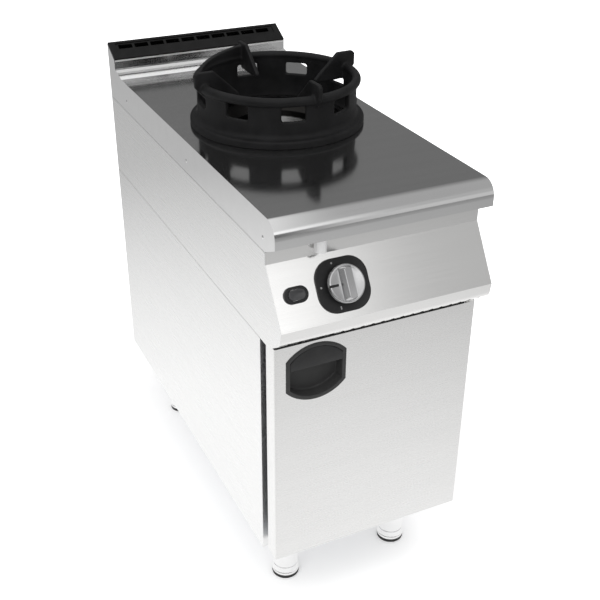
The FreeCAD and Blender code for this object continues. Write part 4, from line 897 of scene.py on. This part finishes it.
studio = {
    "floorSize": 40,
    "floorTone": (0.93, 0.93, 0.93),
    "floorMirrored": (0.45, 0.45, 0.45),  # the same floor in reflections, before its glow
    "glowNear": 0.30,  # what lifts the floor toward white under the object
    "whiteNear": 0.5,  # metres from the middle where it starts to fade to plain white
    "whiteFar": 1.0,
    "sideGlow": (0.70, 0.17, 0.5, 2.0),  # reflected floor beside and behind: near, far, from, to
    "frontGlow": (0.50, 0.02, 0.55, 2.1),
    "fill": 0.62,
    "skyBack": 0.17,
    "skyHigh": 0.42,
    "ceiling": 1.0,
    "skyRight": 0.48,
    "frontLow": 0.07,
    "frontLowRight": 0.62,
    "window": 1.35,
    "behind": (0.0, 0.4),  # directions, as parts of a unit ray, between which each part of the sky fades
    "behindTop": (0.42, 0.80),
    "ahead": (-0.45, -0.1),
    "aheadTop": (0.52, 0.66),
    "windowEdge": (0.345, 0.475),
    "lowEdge": (0.36, 0.44),
    "lowTop": (0.29, 0.34),
    "ceilingFoot": (0.54, 0.64),
    "ceilingEdge": (0.35, 0.42),
    "keyPower": 42,
    "keySize": 2.4,
    "keyPlace": (-1.6, -1.6, 2.9),
    "topPower": 26,
    "topSize": 2.2,
    "topPlace": (0.6, -0.4, 3.0),
}


def product(tree, first, second):
    node = addNode(tree, "ShaderNodeMath", operation="MULTIPLY")
    tree.links.new(first, node.inputs[0])
    tree.links.new(second, node.inputs[1])
    return node.outputs[0]


def fade(tree, factor, first, second):
    # a number that goes from the first to the second
    node = addNode(tree, "ShaderNodeMix", data_type="FLOAT")
    for socket, source in zip((node.inputs[2], node.inputs[3]), (first, second)):
        if isinstance(source, (int, float)):
            socket.default_value = source
        else:
            tree.links.new(source, socket)
    tree.links.new(factor, node.inputs[0])
    return node.outputs[0]


def mirroredRay(tree, path):
    node = addNode(tree, "ShaderNodeMath", operation="MAXIMUM")
    tree.links.new(path.outputs["Is Glossy Ray"], node.inputs[0])
    tree.links.new(path.outputs["Is Transmission Ray"], node.inputs[1])
    return node.outputs[0]


def makeFloor(s):
    work = bmesh.new()
    bmesh.ops.create_grid(work, x_segments=8, y_segments=8, size=s["floorSize"] / 2)
    mesh = bpy.data.meshes.new("floor")
    work.to_mesh(mesh)
    work.free()
    floor = bpy.data.objects.new("floor", mesh)
    bpy.context.scene.collection.objects.link(floor)
    material, tree, shader = newMaterial("paleFloor")
    shader.inputs["Roughness"].default_value = 0.9
    shader.inputs["Specular IOR Level"].default_value = 0.0
    coords = addNode(tree, "ShaderNodeTexCoord")
    reach = addNode(tree, "ShaderNodeVectorMath", operation="LENGTH")
    tree.links.new(coords.outputs["Object"], reach.inputs[0])
    far = reach.outputs["Value"]
    parts = addNode(tree, "ShaderNodeSeparateXYZ")
    tree.links.new(coords.outputs["Object"], parts.inputs[0])
    path = addNode(tree, "ShaderNodeLightPath")
    mirrored = mirroredRay(tree, path)
    tone = blendColours(tree, mirrored, s["floorTone"], s["floorMirrored"])
    tree.links.new(tone, shader.inputs["Base Color"])
    beside = spread(tree, far, *s["sideGlow"])
    ahead = spread(tree, far, *s["frontGlow"])
    inFront = spread(tree, parts.outputs["Y"], 1, 0, -0.6, -0.2)
    seenGlow = spread(tree, far, s["glowNear"], 1, s["whiteNear"], s["whiteFar"])
    level = fade(
        tree, mirrored,
        product(tree, path.outputs["Is Camera Ray"], seenGlow),
        fade(tree, inFront, beside, ahead)
    )
    shader.inputs["Emission Color"].default_value = (1, 1, 1, 1)
    tree.links.new(level, shader.inputs["Emission Strength"])
    mesh.materials.append(material)


def makeWorld(s):
    # the camera sees plain white, but mirrored rays see a grey studio: dark back wall,
    # bright ceiling over the left half, and a soft white window in front on the left
    world = bpy.data.worlds.new("softRoom")
    bpy.context.scene.world = world
    world.use_nodes = True
    tree = world.node_tree
    background = next(n for n in tree.nodes if n.type == "BACKGROUND")
    coords = addNode(tree, "ShaderNodeTexCoord")
    parts = addNode(tree, "ShaderNodeSeparateXYZ")
    tree.links.new(coords.outputs["Generated"], parts.inputs[0])
    x, y, z = (parts.outputs[axis] for axis in "XYZ")
    backWall = product(tree, spread(tree, y, 0, 1, *s["behind"]), spread(tree, z, 1, 0, *s["behindTop"]))
    sky = fade(tree, backWall, s["skyHigh"], s["skyBack"])
    ahead = spread(tree, y, 1, 0, *s["ahead"])
    frontLevel = spread(tree, x, s["window"], s["skyRight"], *s["windowEdge"])
    frontLow = spread(tree, x, s["frontLow"], s["frontLowRight"], *s["lowEdge"])
    frontLevel = fade(tree, spread(tree, z, 0, 1, *s["lowTop"]), frontLow, frontLevel)
    sky = fade(tree, product(tree, ahead, spread(tree, z, 1, 0, *s["aheadTop"])), sky, frontLevel)
    ceiling = product(tree, spread(tree, z, 0, 1, *s["ceilingFoot"]), spread(tree, x, 1, 0, *s["ceilingEdge"]))
    sky = fade(tree, ceiling, sky, s["ceiling"])
    path = addNode(tree, "ShaderNodeLightPath")
    level = fade(tree, mirroredRay(tree, path), s["fill"], sky)
    level = fade(tree, path.outputs["Is Camera Ray"], level, 1.0)
    background.inputs["Color"].default_value = (1, 1, 1, 1)
    tree.links.new(level, background.inputs["Strength"])


def makeLamp(name, place, size, power):
    lamp = bpy.data.lights.new(name, "AREA")
    lamp.shape = "SQUARE"
    lamp.size = size
    lamp.energy = power
    holder = bpy.data.objects.new(name, lamp)
    bpy.context.scene.collection.objects.link(holder)
    holder.visible_glossy = False
    aim = Vector((0, 0, 0.5)) - Vector(place)
    holder.matrix_world = Matrix.Translation(place) @ aim.to_track_quat("-Z", "Y").to_matrix().to_4x4()


makeFloor(studio)
makeWorld(studio)
makeLamp("keyLamp", studio["keyPlace"], studio["keySize"], studio["keyPower"])
makeLamp("topLamp", studio["topPlace"], studio["topSize"], studio["topPower"])
print("floor and light ready")
